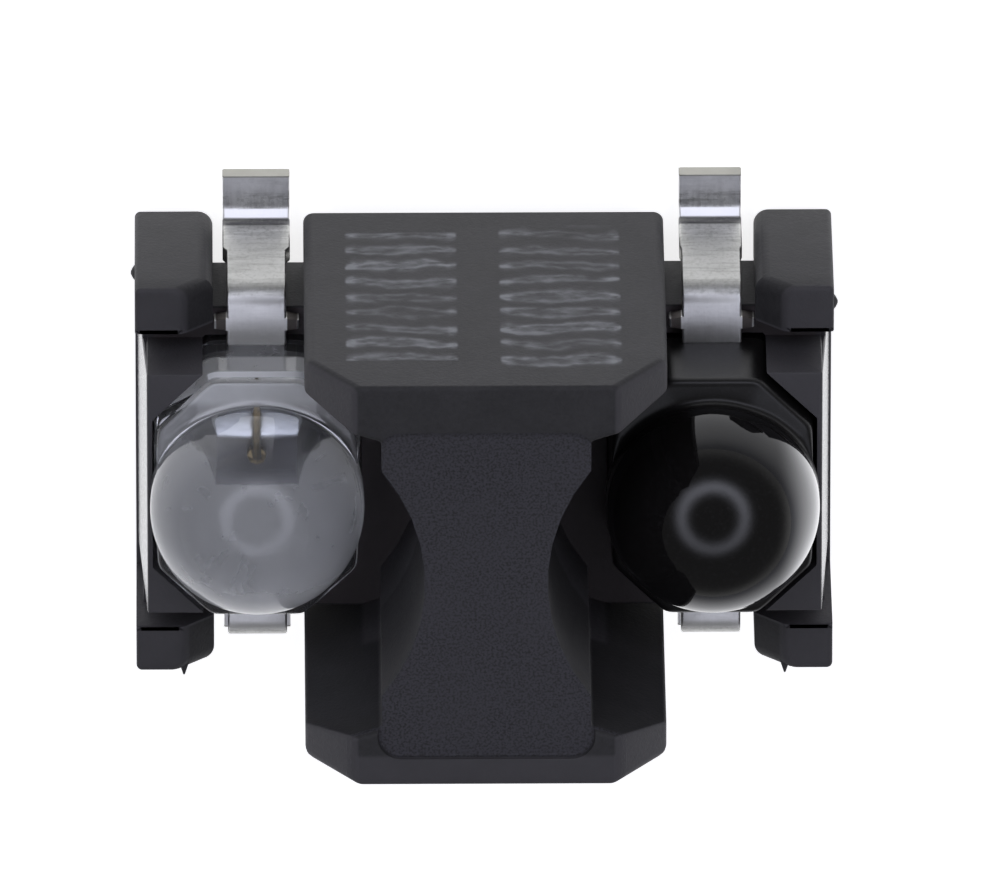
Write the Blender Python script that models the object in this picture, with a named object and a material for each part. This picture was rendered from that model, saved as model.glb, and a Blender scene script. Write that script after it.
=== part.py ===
"""Reflective optical sensor for surface mounting.

A moulded holder carries an infrared emitter and a photodiode side by side, both looking up.
Lengths are in millimetres and are turned into metres when a mesh is made. X runs from the
emitter to the detector, Y along the solder feet, +Z is where the lenses look, z = 0 the board.
"""
import math

import bmesh
import bpy
import numpy as np

MM = 0.001

# Gaps that keep pieces which touch from sharing a face
MOULD_GAP = 0.01
SEAT_GAP = 0.005

# Holder, heights of its top and underside
HOLDER_TOP = 3.75
HOLDER_UNDERSIDE = 0.33

# Centre block between the two lenses
BLOCK_HALF_WIDTH = 1.55
BLOCK_CORNER_RADIUS = 0.09
BLOCK_EDGE_ROUND = 0.05
FLANGE_TIP_THICKNESS = 0.32
FLANGE_ROOT_THICKNESS = 0.53
COLUMN_HALF_WIDTH = 0.895
WAIST_HALF_WIDTH = 0.53
SCALLOP_RADIUS = 1.76
SHOULDER_CHAMFER_WIDTH = 0.42
SHOULDER_CHAMFER_HEIGHT = 0.55

# Sunken front panel of the centre block
PANEL_DEPTH = 0.06
PANEL_FAR_MARGIN = 0.445
PANEL_NEAR_MARGIN = 0.26
PANEL_CORNER_RADIUS = 0.20
PANEL_SIDE_OVERRUN = 0.03

# Chips and what holds and wires them
EMITTER_CHIP_SIDE = 0.28
EMITTER_CHIP_HEIGHT = 0.18
EMITTER_CHIP_OFFSET = 0.08
DETECTOR_CHIP_SIDE = 0.80
DETECTOR_CHIP_HEIGHT = 0.22
DIE_ATTACH_HEIGHT = 0.02
DIE_ATTACH_MARGIN = 0.03
CONTACT_INSET = 0.10
WIRE_RADIUS = 0.016
WIRE_RISE = 0.16
WIRE_LANDING = 0.12
BALL_RADIUS = 0.034
BALL_HEIGHT = 0.022

# Strip of the leads
LEAD_THICKNESS = 0.15
LEAD_TOP = 1.37
LEAD_RUN_WIDTH = 0.51
KNEE_BEND_RADIUS = 0.13
HEEL_BEND_RADIUS = 0.20
STUB_LENGTH = 0.08
STUB_REACH = 0.11
STEP_RAMP = 0.03
EMITTER_FOOT_WIDTH = 0.58
DETECTOR_FOOT_WIDTH = 0.54
FOOT_WIDENING_Z = 0.70
FOOT_WIDENING_LENGTH = 0.06
LEAD_BLOCK_GAP = 0.04
LEAD_POST_GAP = 0.01

# Lens packages, each on the middle line of its leads
PACKAGE_X = BLOCK_HALF_WIDTH + LEAD_BLOCK_GAP + STUB_REACH + LEAD_RUN_WIDTH / 2
PACKAGE_HALF_WIDTH = 0.885
PACKAGE_HALF_LENGTH = 1.15
PACKAGE_CORNER = 0.46
PACKAGE_DRAFT = 0.025
PACKAGE_BOTTOM = 0.45
PACKAGE_SHOULDER = 2.05
DOME_RADIUS = 0.92
DOME_CENTRE_Z = 2.20
DOME_ROOT_DEPTH = 0.09
SHOULDER_RISE = 0.045
SHOULDER_LAP = 0.01
PACKAGE_FIT = 0.015

# Guards that flank the packages between the posts
GUARD_TOP_WALL = 0.045
GUARD_LEAN = 0.085
GUARD_SETBACK = 0.01
GUARD_TOP_GAP = 0.02
GUARD_FOOT = 0.40
GUARD_OVERLAP = 0.08
GUARD_HALF_DEPTH = PACKAGE_HALF_LENGTH - GUARD_SETBACK
GUARD_TOP = PACKAGE_SHOULDER - DOME_ROOT_DEPTH - GUARD_TOP_GAP
GUARD_TOP_X = PACKAGE_X + PACKAGE_HALF_WIDTH + PACKAGE_FIT + GUARD_TOP_WALL
GUARD_FOOT_X = GUARD_TOP_X + GUARD_LEAN
GUARD_INNER_X = PACKAGE_X + PACKAGE_HALF_WIDTH - PACKAGE_CORNER - GUARD_OVERLAP

# Web that joins the block to the posts and carries the packages
LIP_REACH = 0.015
LIP_SETBACK = 0.015
LIP_TOP = 0.45
WEB_END_WALL = 0.27
WEB_SETBACK = 0.06
LEAD_REST_GAP = 0.02
HOLDER_HALF_LENGTH = GUARD_FOOT_X + LIP_REACH
WEB_HALF_LENGTH = HOLDER_HALF_LENGTH - WEB_SETBACK
WEB_HALF_DEPTH = PACKAGE_HALF_LENGTH + PACKAGE_FIT + WEB_END_WALL
WEB_TOP = LEAD_TOP - LEAD_THICKNESS - LEAD_REST_GAP

# Posts at the four outer corners
POST_OVERLAP = 0.035
POST_DEPTH = 0.43
POST_BOTTOM = 0.12
POST_TOP = 1.68
POST_INNER_RADIUS = 0.13
POST_OUTER_RADIUS = 0.05
POST_EDGE_ROUND = 0.04
POST_CHAMFER_WIDTH = 0.26
POST_CHAMFER_HEIGHT = 0.24
POST_INNER_X = PACKAGE_X + LEAD_RUN_WIDTH / 2 + STUB_REACH + LEAD_POST_GAP
POST_INNER_Y = WEB_HALF_DEPTH - POST_OVERLAP
POST_OUTER_Y = POST_INNER_Y + POST_DEPTH

# Centre block along Y, a little longer than the posts
BLOCK_END_REACH = 0.07
BLOCK_HALF_DEPTH = POST_OUTER_Y + BLOCK_END_REACH

# Moulding flash left on the holder
GATE_REACH = 0.04
GATE_HALF_WIDTH = 0.07
GATE_HALF_HEIGHT = 0.06
LEFT_GATE_Z = 0.90
RIGHT_GATE_Z = 1.52
NIB_REACH = 0.08
NIB_HALF_WIDTH = 0.05
NIB_HEIGHT = 0.16
NIB_TOP_GAP = 0.05

# Leads along their length, from what they hold inside the package to their tips
PADDLE_MARGIN = 0.06
LEAD_GAP = 0.20
NECK_COVER = 0.12
NECK_LENGTH = 0.06
STUB_OFFSET = 0.19
LEAD_WALL_GAP = 0.11
RISER_LEAN = 0.08
FOOT_REACH = 0.466
PADDLE_WIDTH = DETECTOR_CHIP_SIDE + 2 * (DIE_ATTACH_MARGIN + PADDLE_MARGIN)
NECK_OUTER_Y = PACKAGE_HALF_LENGTH - NECK_COVER
STUB_Y = PACKAGE_HALF_LENGTH + STUB_OFFSET
LEAD_KNEE_Y = WEB_HALF_DEPTH + LEAD_WALL_GAP + LEAD_THICKNESS / 2
LEAD_HEEL_Y = LEAD_KNEE_Y + RISER_LEAN
LEAD_TIP_Y = LEAD_HEEL_Y + FOOT_REACH

# How finely curves are cut
CORNER_STEPS = 6
EDGE_STEPS = 3
SCALLOP_STEPS = 10
BEND_STEPS = 8
DOME_SEGMENTS = 64
DOME_RINGS = 16
WIRE_SIDES = 8
WIRE_STEPS = 16

# How far a cutter reaches past the face it cuts, and what counts as one point
CUTTER_REACH = 0.5
WELD_DISTANCE = 0.0001
SMOOTH_ANGLE = math.radians(30.0)
OCTAGON_HALF_ANGLE = math.radians(22.5)


def new_material(name, colour, roughness, metallic):
    """Make one Principled material."""
    material = bpy.data.materials.new(name)
    material.use_nodes = True
    shader = material.node_tree.nodes["Principled BSDF"]
    shader.inputs["Base Color"].default_value = (*colour, 1.0)
    shader.inputs["Roughness"].default_value = roughness
    shader.inputs["Metallic"].default_value = metallic
    material.diffuse_color = (*colour, 1.0)
    return material


def finish(name, body, material=None):
    """Turn a bmesh drawn in millimetres into an object in metres, faces outwards."""
    bmesh.ops.recalc_face_normals(body, faces=body.faces)
    bmesh.ops.scale(body, vec=(MM, MM, MM), verts=body.verts)
    mesh = bpy.data.meshes.new(name)
    body.to_mesh(mesh)
    body.free()
    obj = bpy.data.objects.new(name, mesh)
    bpy.context.scene.collection.objects.link(obj)
    if material is not None:
        mesh.materials.append(material)
    return obj


def loft(name, rings, material=None):
    """Join rings with the same number of points and close both ends."""
    body = bmesh.new()
    loops = [[body.verts.new(point) for point in ring] for ring in rings]
    body.faces.new(loops[0])
    body.faces.new(loops[-1])
    for lower, upper in zip(loops, loops[1:]):
        for index, corner in enumerate(lower):
            body.faces.new((lower[index - 1], corner, upper[index], upper[index - 1]))
    return finish(name, body, material)


def at_height(outline, z):
    """Lift a plan outline to one height."""
    return [(x, y, z) for x, y in outline]


def prism(name, outline, low, high, material=None):
    """Extrude a plan outline between two heights."""
    return loft(name, [at_height(outline, low), at_height(outline, high)], material)


def side_prism(name, outline, near, far):
    """Extrude an outline of X and Z points along Y."""
    return loft(name, [[(x, near, z) for x, z in outline],
                       [(x, far, z) for x, z in outline]])


def rectangle(low_x, high_x, low_y, high_y):
    """Corner points of an upright rectangle."""
    return [(low_x, low_y), (high_x, low_y), (high_x, high_y), (low_x, high_y)]


def box(name, low, high):
    """A block between two opposite corners."""
    outline = rectangle(low[0], high[0], low[1], high[1])
    return prism(name, outline, low[2], high[2])


def arc(centre, radius, start, end, steps):
    """Points of an arc, angles in degrees."""
    angles = np.radians(np.linspace(start, end, steps + 1))
    return [(centre[0] + radius * math.cos(a), centre[1] + radius * math.sin(a))
            for a in angles]


def combine(target, tool, operation):
    """Add an exact Boolean to an object, with a helper that isn't a piece of the sensor."""
    tool.hide_render = True
    tool.display_type = "WIRE"
    modifier = target.modifiers.new(tool.name, "BOOLEAN")
    modifier.operation = operation
    modifier.solver = "EXACT"
    modifier.object = tool


def smooth(obj):
    """Shade rounded faces smooth and keep the real edges sharp."""
    mesh = obj.data
    mesh.polygons.foreach_set("use_smooth", [True] * len(mesh.polygons))
    mesh.set_sharp_from_angle(angle=SMOOTH_ANGLE)


def settle(obj):
    """Keep the result of an object's Booleans as its mesh and remove their helpers."""
    tools = [modifier.object for modifier in obj.modifiers]
    graph = bpy.context.evaluated_depsgraph_get()
    rough = obj.data
    obj.data = bpy.data.meshes.new_from_object(obj.evaluated_get(graph))
    obj.modifiers.clear()
    obj.data.name = rough.name
    bpy.data.meshes.remove(rough)
    for tool in tools:
        bpy.data.objects.remove(tool, do_unlink=True)
    smooth(obj)


def flange_y(x):
    """Plan line of a flange's inner wall, from the column out to the tip."""
    share = (x - COLUMN_HALF_WIDTH) / (BLOCK_HALF_WIDTH - COLUMN_HALF_WIDTH)
    thickness = FLANGE_ROOT_THICKNESS + share * (FLANGE_TIP_THICKNESS - FLANGE_ROOT_THICKNESS)
    return BLOCK_HALF_DEPTH - thickness


def block_quarter(half_width, half_depth):
    """Plan of one quarter of the centre block, from its end wall to the waist."""
    radius = BLOCK_CORNER_RADIUS
    corner = (half_width - radius, half_depth - radius)
    points = arc(corner, radius, 90.0, 0.0, CORNER_STEPS)
    points.append((half_width, flange_y(half_width)))
    points.append((COLUMN_HALF_WIDTH, flange_y(COLUMN_HALF_WIDTH)))
    centre = WAIST_HALF_WIDTH + SCALLOP_RADIUS
    reach = math.acos((centre - COLUMN_HALF_WIDTH) / SCALLOP_RADIUS)
    for angle in np.linspace(reach, 0.0, SCALLOP_STEPS + 1):
        points.append((centre - SCALLOP_RADIUS * math.cos(angle),
                       SCALLOP_RADIUS * math.sin(angle)))
    return points


def block_outline(half_width, half_depth):
    """Whole plan of the centre block, an I with hollowed flanks."""
    quarter = block_quarter(half_width, half_depth)
    right = quarter + [(x, -y) for x, y in reversed(quarter[:-1])]
    return right + [(-x, -y) for x, y in right]


def edge_round(top, radius):
    """Heights up to a rounded top edge, each with how far the wall has drawn in."""
    turns = np.linspace(0.0, math.pi / 2, EDGE_STEPS + 1)
    return [(top - radius * (1.0 - math.sin(t)), radius * (1.0 - math.cos(t))) for t in turns]


def centre_block(material):
    """The block that keeps the two optical paths apart, with chamfered shoulders."""
    wide_outline = block_outline(BLOCK_HALF_WIDTH, BLOCK_HALF_DEPTH)
    shoulder = HOLDER_TOP - SHOULDER_CHAMFER_HEIGHT
    rings = [at_height(wide_outline, HOLDER_UNDERSIDE), at_height(wide_outline, shoulder)]
    for z, inset in edge_round(HOLDER_TOP, BLOCK_EDGE_ROUND):
        lean = SHOULDER_CHAMFER_WIDTH * (z - shoulder) / SHOULDER_CHAMFER_HEIGHT
        rings.append(at_height(block_outline(BLOCK_HALF_WIDTH - lean,
                                             BLOCK_HALF_DEPTH - inset), z))
    return loft("holder", rings, material)


def rounded_panel():
    """Plan of the sunken panel, a rectangle with rounded corners."""
    radius = PANEL_CORNER_RADIUS
    side = COLUMN_HALF_WIDTH + PANEL_SIDE_OVERRUN - radius
    far = BLOCK_HALF_DEPTH - PANEL_FAR_MARGIN - radius
    near = PANEL_NEAR_MARGIN - BLOCK_HALF_DEPTH + radius
    points = []
    for turn, corner in enumerate([(side, far), (-side, far), (-side, near), (side, near)]):
        points += arc(corner, radius, 90.0 * turn, 90.0 * (turn + 1), CORNER_STEPS)
    return points


def post_outline(side, end, inner_x, inset=0.0):
    """Plan of one corner post, its two exposed corners rounded."""
    r_in = POST_INNER_RADIUS
    r_out = POST_OUTER_RADIUS
    outer_x = HOLDER_HALF_LENGTH - inset
    outer_y = POST_OUTER_Y - inset
    points = [(inner_x, POST_INNER_Y), (outer_x, POST_INNER_Y)]
    points += arc((outer_x - r_out, outer_y - r_out), r_out, 0.0, 90.0, CORNER_STEPS)
    points += arc((inner_x + r_in, outer_y - r_in), r_in, 90.0, 180.0, CORNER_STEPS)
    return [(side * x, end * y) for x, y in points]


def corner_post(side, end):
    """A post with its inner top edge chamfered and its outer top edges rounded."""
    chamfer = POST_TOP - POST_CHAMFER_HEIGHT
    rings = [at_height(post_outline(side, end, POST_INNER_X), POST_BOTTOM),
             at_height(post_outline(side, end, POST_INNER_X), chamfer)]
    for z, inset in edge_round(POST_TOP, POST_EDGE_ROUND):
        lean = POST_CHAMFER_WIDTH * (z - chamfer) / POST_CHAMFER_HEIGHT
        rings.append(at_height(post_outline(side, end, POST_INNER_X + lean, inset), z))
    return loft("tool_post", rings)


def guard(side):
    """The wall beside a package, with its outer face leaning in towards the top."""
    outline = [(side * GUARD_INNER_X, GUARD_FOOT), (side * GUARD_FOOT_X, GUARD_FOOT),
               (side * GUARD_TOP_X, GUARD_TOP), (side * GUARD_INNER_X, GUARD_TOP)]
    return side_prism("tool_guard", outline, -GUARD_HALF_DEPTH, GUARD_HALF_DEPTH)


def package_outline(half_width, half_length, corner=PACKAGE_CORNER):
    """Plan of a package about its own axis, a rectangle with its corners cut off."""
    flat = half_width - corner
    straight = half_length - corner
    return [(half_width, straight), (flat, half_length), (-flat, half_length),
            (-half_width, straight), (-half_width, -straight), (-flat, -half_length),
            (flat, -half_length), (half_width, -straight)]


def pocket(side):
    """The recess of the holder a package stands in."""
    outline = package_outline(PACKAGE_HALF_WIDTH + PACKAGE_FIT,
                              PACKAGE_HALF_LENGTH + PACKAGE_FIT)
    cutter = prism("tool_pocket", outline, PACKAGE_BOTTOM - SEAT_GAP,
                   HOLDER_TOP + CUTTER_REACH)
    cutter.location.x = side * PACKAGE_X * MM
    return cutter


def gate_mark(side, z):
    """A small stump where the plastic entered the mould, on the far post."""
    y = (POST_INNER_Y + POST_OUTER_Y) / 2
    root = side * (HOLDER_HALF_LENGTH - GATE_REACH)
    tip = side * (HOLDER_HALF_LENGTH + GATE_REACH)
    outline = [(root, y - GATE_HALF_WIDTH), (root, y + GATE_HALF_WIDTH), (tip, y)]
    return prism("tool_gate", outline, z - GATE_HALF_HEIGHT, z + GATE_HALF_HEIGHT)


def flash_nib(side):
    """A thin point of flash at the near end of a post."""
    root = NIB_REACH - POST_OUTER_Y
    tip = -POST_OUTER_Y - NIB_REACH
    centre = side * (POST_INNER_X + POST_CHAMFER_WIDTH)
    outline = [(centre - NIB_HALF_WIDTH, root), (centre + NIB_HALF_WIDTH, root),
               (centre, tip)]
    high = POST_TOP - NIB_TOP_GAP
    return prism("tool_nib", outline, high - NIB_HEIGHT, high)


def build_holder(material):
    """The black moulded holder: block, web, guards and posts, less the pockets."""
    holder = centre_block(material)
    web = box("tool_web", (-WEB_HALF_LENGTH, -WEB_HALF_DEPTH, HOLDER_UNDERSIDE),
              (WEB_HALF_LENGTH, WEB_HALF_DEPTH, WEB_TOP))
    lip_depth = WEB_HALF_DEPTH - LIP_SETBACK
    lip = box("tool_lip", (-HOLDER_HALF_LENGTH, -lip_depth, HOLDER_UNDERSIDE),
              (HOLDER_HALF_LENGTH, lip_depth, LIP_TOP))
    combine(holder, web, "UNION")
    combine(holder, lip, "UNION")
    for side in (-1, 1):
        combine(holder, guard(side), "UNION")
        for end in (-1, 1):
            combine(holder, corner_post(side, end), "UNION")
        combine(holder, flash_nib(side), "UNION")
    combine(holder, gate_mark(-1, LEFT_GATE_Z), "UNION")
    combine(holder, gate_mark(1, RIGHT_GATE_Z), "UNION")
    for side in (-1, 1):
        combine(holder, pocket(side), "DIFFERENCE")
    panel = prism("tool_panel", rounded_panel(), HOLDER_TOP - PANEL_DEPTH,
                  HOLDER_TOP + CUTTER_REACH)
    combine(holder, panel, "DIFFERENCE")
    settle(holder)
    return holder


def lead_levels():
    """Height of a lead's middle line inside the package and under the foot."""
    return LEAD_TOP - LEAD_THICKNESS / 2, LEAD_THICKNESS / 2


def bend(corner, before, after, radius):
    """Centre line points round one corner, each with its direction of travel."""
    a = np.subtract(corner, before)
    b = np.subtract(after, corner)
    a = a / np.linalg.norm(a)
    b = b / np.linalg.norm(b)
    turn = math.atan2(a[0] * b[1] - a[1] * b[0], float(a @ b))
    trim = radius * math.tan(abs(turn) / 2)
    start = np.asarray(corner) - a * trim
    normal = np.array([-a[1], a[0]]) * math.copysign(1.0, turn)
    centre = start + normal * radius
    points = []
    for share in np.linspace(0.0, 1.0, BEND_STEPS + 1):
        angle = turn * share
        spin = np.array([[math.cos(angle), -math.sin(angle)],
                         [math.sin(angle), math.cos(angle)]])
        points.append((centre + spin @ (start - centre), spin @ a))
    return points


def lead_stations(inner_y, foot_width, grow):
    """Middle line, direction and width of a lead at every place where one of them changes."""
    run_z, foot_z = lead_levels()
    start = (inner_y, run_z)
    knee = (LEAD_KNEE_Y, run_z)
    heel = (LEAD_HEEL_Y, foot_z)
    tip = (LEAD_TIP_Y, foot_z)
    along = np.array([1.0, 0.0])
    half_stub = STUB_LENGTH / 2
    stub_width = LEAD_RUN_WIDTH + 2 * STUB_REACH
    flat = [(inner_y - grow, PADDLE_WIDTH), (NECK_OUTER_Y - NECK_LENGTH, PADDLE_WIDTH),
            (NECK_OUTER_Y, LEAD_RUN_WIDTH), (STUB_Y - half_stub - STEP_RAMP, LEAD_RUN_WIDTH),
            (STUB_Y - half_stub, stub_width), (STUB_Y + half_stub, stub_width),
            (STUB_Y + half_stub + STEP_RAMP, LEAD_RUN_WIDTH)]
    stations = [(np.array([y, run_z]), along, width) for y, width in flat]
    stations += [(p, d, LEAD_RUN_WIDTH) for p, d in bend(knee, start, heel, KNEE_BEND_RADIUS)]
    down = stations[-1][1]
    for z, width in ((FOOT_WIDENING_Z, LEAD_RUN_WIDTH),
                     (FOOT_WIDENING_Z - FOOT_WIDENING_LENGTH, foot_width)):
        share = (run_z - z) / (run_z - foot_z)
        y = LEAD_KNEE_Y + share * (LEAD_HEEL_Y - LEAD_KNEE_Y)
        stations.append((np.array([y, z]), down, width))
    stations += [(p, d, foot_width) for p, d in bend(heel, knee, tip, HEEL_BEND_RADIUS)]
    stations.append((np.array(tip), along, foot_width))
    return stations


def lead(name, inner_y, foot_width, material=None, grow=0.0):
    """One lead, a flat strip bent down to the board and out again.

    The strip's width and its bends are both written along its length, as on a drawing
    of the blank. grow makes it larger all round, for the space it leaves in a package.
    """
    rings = []
    for point, direction, width in lead_stations(inner_y, foot_width, grow):
        normal = np.array([-direction[1], direction[0]]) * (LEAD_THICKNESS / 2 + grow)
        half = width / 2 + grow
        upper = point + normal
        lower = point - normal
        rings.append([(-half, upper[0], upper[1]), (half, upper[0], upper[1]),
                      (half, lower[0], lower[1]), (-half, lower[0], lower[1])])
    obj = loft(name, rings, material)
    smooth(obj)
    return obj


def dome(name):
    """The lens: a half circle above a short barrel, turned about the optical axis."""
    foot = PACKAGE_SHOULDER - DOME_ROOT_DEPTH
    profile = [(0.0, foot), (DOME_RADIUS, foot)]
    profile += arc((0.0, DOME_CENTRE_Z), DOME_RADIUS, 0.0, 90.0, DOME_RINGS)
    body = bmesh.new()
    corners = [body.verts.new((x, 0.0, z)) for x, z in profile]
    edges = [body.edges.new(pair) for pair in zip(corners, corners[1:])]
    bmesh.ops.spin(body, geom=corners + edges, cent=(0.0, 0.0, 0.0), axis=(0.0, 0.0, 1.0),
                   angle=2 * math.pi, steps=DOME_SEGMENTS)
    bmesh.ops.remove_doubles(body, verts=body.verts, dist=WELD_DISTANCE)
    return finish(name, body)


def package(name, axis, material):
    """A moulded package, drafted to both sides of its parting line, with its lens.

    The shoulder rises a little from the walls to a regular octagon that the lens covers.
    """
    parting = LEAD_TOP - LEAD_THICKNESS / 2
    wide = package_outline(PACKAGE_HALF_WIDTH, PACKAGE_HALF_LENGTH)
    narrow = package_outline(PACKAGE_HALF_WIDTH - PACKAGE_DRAFT,
                             PACKAGE_HALF_LENGTH - PACKAGE_DRAFT)
    crown_half = DOME_RADIUS * math.cos(OCTAGON_HALF_ANGLE) - SHOULDER_LAP
    crown_corner = crown_half * (1.0 - math.tan(OCTAGON_HALF_ANGLE))
    crown = package_outline(crown_half, crown_half, crown_corner)
    obj = loft(name, [at_height(narrow, PACKAGE_BOTTOM), at_height(wide, parting),
                      at_height(narrow, PACKAGE_SHOULDER),
                      at_height(crown, PACKAGE_SHOULDER + SHOULDER_RISE)], material)
    combine(obj, place(dome("tool_dome"), axis), "UNION")
    return place(obj, axis)


def slab(name, side, y, low, height, material=None, grow=0.0):
    """A square plate such as a chip, centred at one place along Y."""
    half = side / 2 + grow
    outline = rectangle(-half, half, y - half, y + half)
    return prism(name, outline, low - grow, low + height + grow, material)


def wire_stations(start, end, radius):
    """Points, directions and radii of a bond wire that leaves and lands upright."""
    middle = (start[0] + end[0]) / 2
    reach = (start[0] - end[0]) / 2
    stations = [(start, (0.0, 1.0), BALL_RADIUS + radius - WIRE_RADIUS)]
    stations.append(((start[0], start[1] + BALL_HEIGHT), (0.0, 1.0), stations[0][2]))
    for turn in np.linspace(0.0, math.pi, WIRE_STEPS + 1)[1:]:
        base = start[1] + (end[1] - start[1]) * (1.0 - math.cos(turn)) / 2
        point = (middle + reach * math.cos(turn), base + WIRE_RISE * math.sin(turn))
        drop = (end[1] - start[1]) * math.sin(turn) / 2
        travel = np.array([-reach * math.sin(turn), drop + WIRE_RISE * math.cos(turn)])
        stations.append((point, tuple(travel / np.linalg.norm(travel)), radius))
    return stations


def bond_wire(name, start, end, material=None, grow=0.0):
    """A gold wire from a ball on the chip to the flat of the other lead."""
    turns = np.linspace(0.0, 2 * math.pi, WIRE_SIDES, endpoint=False)
    start = (start[0], start[1] - grow)
    end = (end[0], end[1] - grow)
    rings = []
    for point, travel, radius in wire_stations(start, end, WIRE_RADIUS + grow):
        rings.append([(radius * math.cos(t), point[0] + radius * math.sin(t) * travel[1],
                       point[1] - radius * math.sin(t) * travel[0]) for t in turns])
    obj = loft(name, rings, material)
    smooth(obj)
    return obj


def place(obj, parent, turn=0.0):
    """Hang a piece on its parent, turned about the upright axis."""
    obj.parent = parent
    obj.rotation_euler.z = turn
    return obj


def frame_empty(name, x, parent=None):
    """An empty that carries the pieces of one component."""
    empty = bpy.data.objects.new(name, None)
    bpy.context.scene.collection.objects.link(empty)
    empty.location.x = x * MM
    empty.parent = parent
    return empty


def mould_in(body, axis, turn, make, name, sizes, material):
    """Place a piece and take its space, slightly larger all round, out of the package."""
    place(make(name, *sizes, material), axis, turn)
    space = place(make("tool_" + name, *sizes, grow=MOULD_GAP), axis, turn)
    combine(body, space, "DIFFERENCE")


def component(label, x, root, looks, sizes):
    """A lens package with its two leads, chip, solder layer and bond wire.

    The carrier lead holds the chip and the other lead takes its wire.
    """
    axis = frame_empty(label + "_axis", x, root)
    body = package(label + "_package", axis, looks["body"])
    turn = sizes["turn"]
    chip_y = sizes["chip_offset"]
    paddle_y = chip_y - sizes["chip_side"] / 2 - DIE_ATTACH_MARGIN - PADDLE_MARGIN
    finger_y = LEAD_GAP - paddle_y
    mould_in(body, axis, turn, lead, f"{label}_{sizes['carrier']}_lead",
             (paddle_y, sizes["foot"]), looks["lead"])
    mould_in(body, axis, turn + math.pi, lead, f"{label}_{sizes['other']}_lead",
             (finger_y, sizes["foot"]), looks["lead"])
    solder_low = LEAD_TOP + SEAT_GAP
    chip_low = solder_low + DIE_ATTACH_HEIGHT + SEAT_GAP
    contact_low = chip_low + sizes["chip_height"] + SEAT_GAP
    mould_in(body, axis, turn, slab, label + "_die_attach",
             (sizes["chip_side"] + 2 * DIE_ATTACH_MARGIN, chip_y, solder_low, DIE_ATTACH_HEIGHT),
             looks["solder"])
    mould_in(body, axis, turn, slab, label + "_chip",
             (sizes["chip_side"], chip_y, chip_low, sizes["chip_height"]), looks["chip"])
    start = (chip_y + sizes["contact_y"], contact_low)
    end = (-finger_y - WIRE_LANDING, LEAD_TOP + SEAT_GAP)
    mould_in(body, axis, turn, bond_wire, label + "_bond_wire", (start, end), looks["wire"])
    settle(body)


def main():
    """Clear the scene and build the sensor."""
    for obj in list(bpy.data.objects):
        bpy.data.objects.remove(obj, do_unlink=True)
    root = frame_empty("sensor", 0.0)
    place(build_holder(new_material("black_holder_plastic", (0.022, 0.022, 0.026), 0.55, 0.0)),
          root)
    lead_look = new_material("tinned_copper", (0.62, 0.62, 0.60), 0.28, 1.0)
    solder = new_material("silver_die_attach", (0.55, 0.55, 0.53), 0.5, 1.0)
    gold = new_material("gold_wire", (0.83, 0.62, 0.24), 0.25, 1.0)
    emitter_looks = {
        "body": new_material("clear_epoxy", (0.55, 0.57, 0.60), 0.08, 0.0),
        "chip": new_material("emitter_chip", (0.10, 0.09, 0.12), 0.3, 0.0),
        "lead": lead_look, "solder": solder, "wire": gold}
    detector_looks = {
        "body": new_material("daylight_filter_epoxy", (0.006, 0.005, 0.007), 0.07, 0.0),
        "chip": new_material("silicon_chip", (0.05, 0.06, 0.10), 0.2, 0.0),
        "lead": lead_look, "solder": solder, "wire": gold}
    component("emitter", -PACKAGE_X, root, emitter_looks, {
        "carrier": "anode", "other": "cathode", "turn": math.pi,
        "foot": EMITTER_FOOT_WIDTH, "chip_side": EMITTER_CHIP_SIDE,
        "chip_height": EMITTER_CHIP_HEIGHT, "chip_offset": EMITTER_CHIP_OFFSET,
        "contact_y": 0.0})
    component("detector", PACKAGE_X, root, detector_looks, {
        "carrier": "cathode", "other": "anode", "turn": 0.0,
        "foot": DETECTOR_FOOT_WIDTH, "chip_side": DETECTOR_CHIP_SIDE,
        "chip_height": DETECTOR_CHIP_HEIGHT, "chip_offset": 0.0,
        "contact_y": CONTACT_INSET - DETECTOR_CHIP_SIDE / 2})


main()
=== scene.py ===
"""Looks of the reflective optical sensor: its moulded holder, lens packages and leads.

Lengths are in millimetres in every class and turn into metres when a mesh is written. X runs
from the emitter to the detector, +Y is the side of the marked wall, +Z is where the lenses look.
"""

import logging
import math
from dataclasses import dataclass
from enum import Enum

import bmesh
import bpy
import numpy as np
from mathutils import Matrix, Vector


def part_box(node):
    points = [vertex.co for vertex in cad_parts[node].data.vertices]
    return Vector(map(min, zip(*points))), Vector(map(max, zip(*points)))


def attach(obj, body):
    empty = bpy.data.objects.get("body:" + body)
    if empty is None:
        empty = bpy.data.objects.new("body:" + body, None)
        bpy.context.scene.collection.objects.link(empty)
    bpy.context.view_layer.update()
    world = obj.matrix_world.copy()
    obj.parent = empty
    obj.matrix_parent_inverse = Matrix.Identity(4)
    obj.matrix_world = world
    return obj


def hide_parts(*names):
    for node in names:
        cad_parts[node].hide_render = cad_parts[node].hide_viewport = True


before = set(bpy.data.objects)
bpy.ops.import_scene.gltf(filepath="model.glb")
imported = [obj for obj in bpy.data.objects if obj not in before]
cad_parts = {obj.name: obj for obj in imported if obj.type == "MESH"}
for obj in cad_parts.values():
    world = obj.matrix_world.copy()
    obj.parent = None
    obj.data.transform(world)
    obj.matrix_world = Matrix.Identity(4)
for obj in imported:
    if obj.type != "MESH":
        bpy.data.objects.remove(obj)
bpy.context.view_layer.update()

MM = 0.001
WELD = 1e-8
IMAGE_WIDTH = 1000
LOG = logging.getLogger("sensor")

# How wide the soft steps between two places of a finish are
SHARP, CRISP, BLUNT, SOFT = 0.01, 0.02, 0.03, 0.05

# The solder feet of the two packages differ in width
FOOT_WIDTHS = {"emitter": 0.58, "detector": 0.54}


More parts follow.
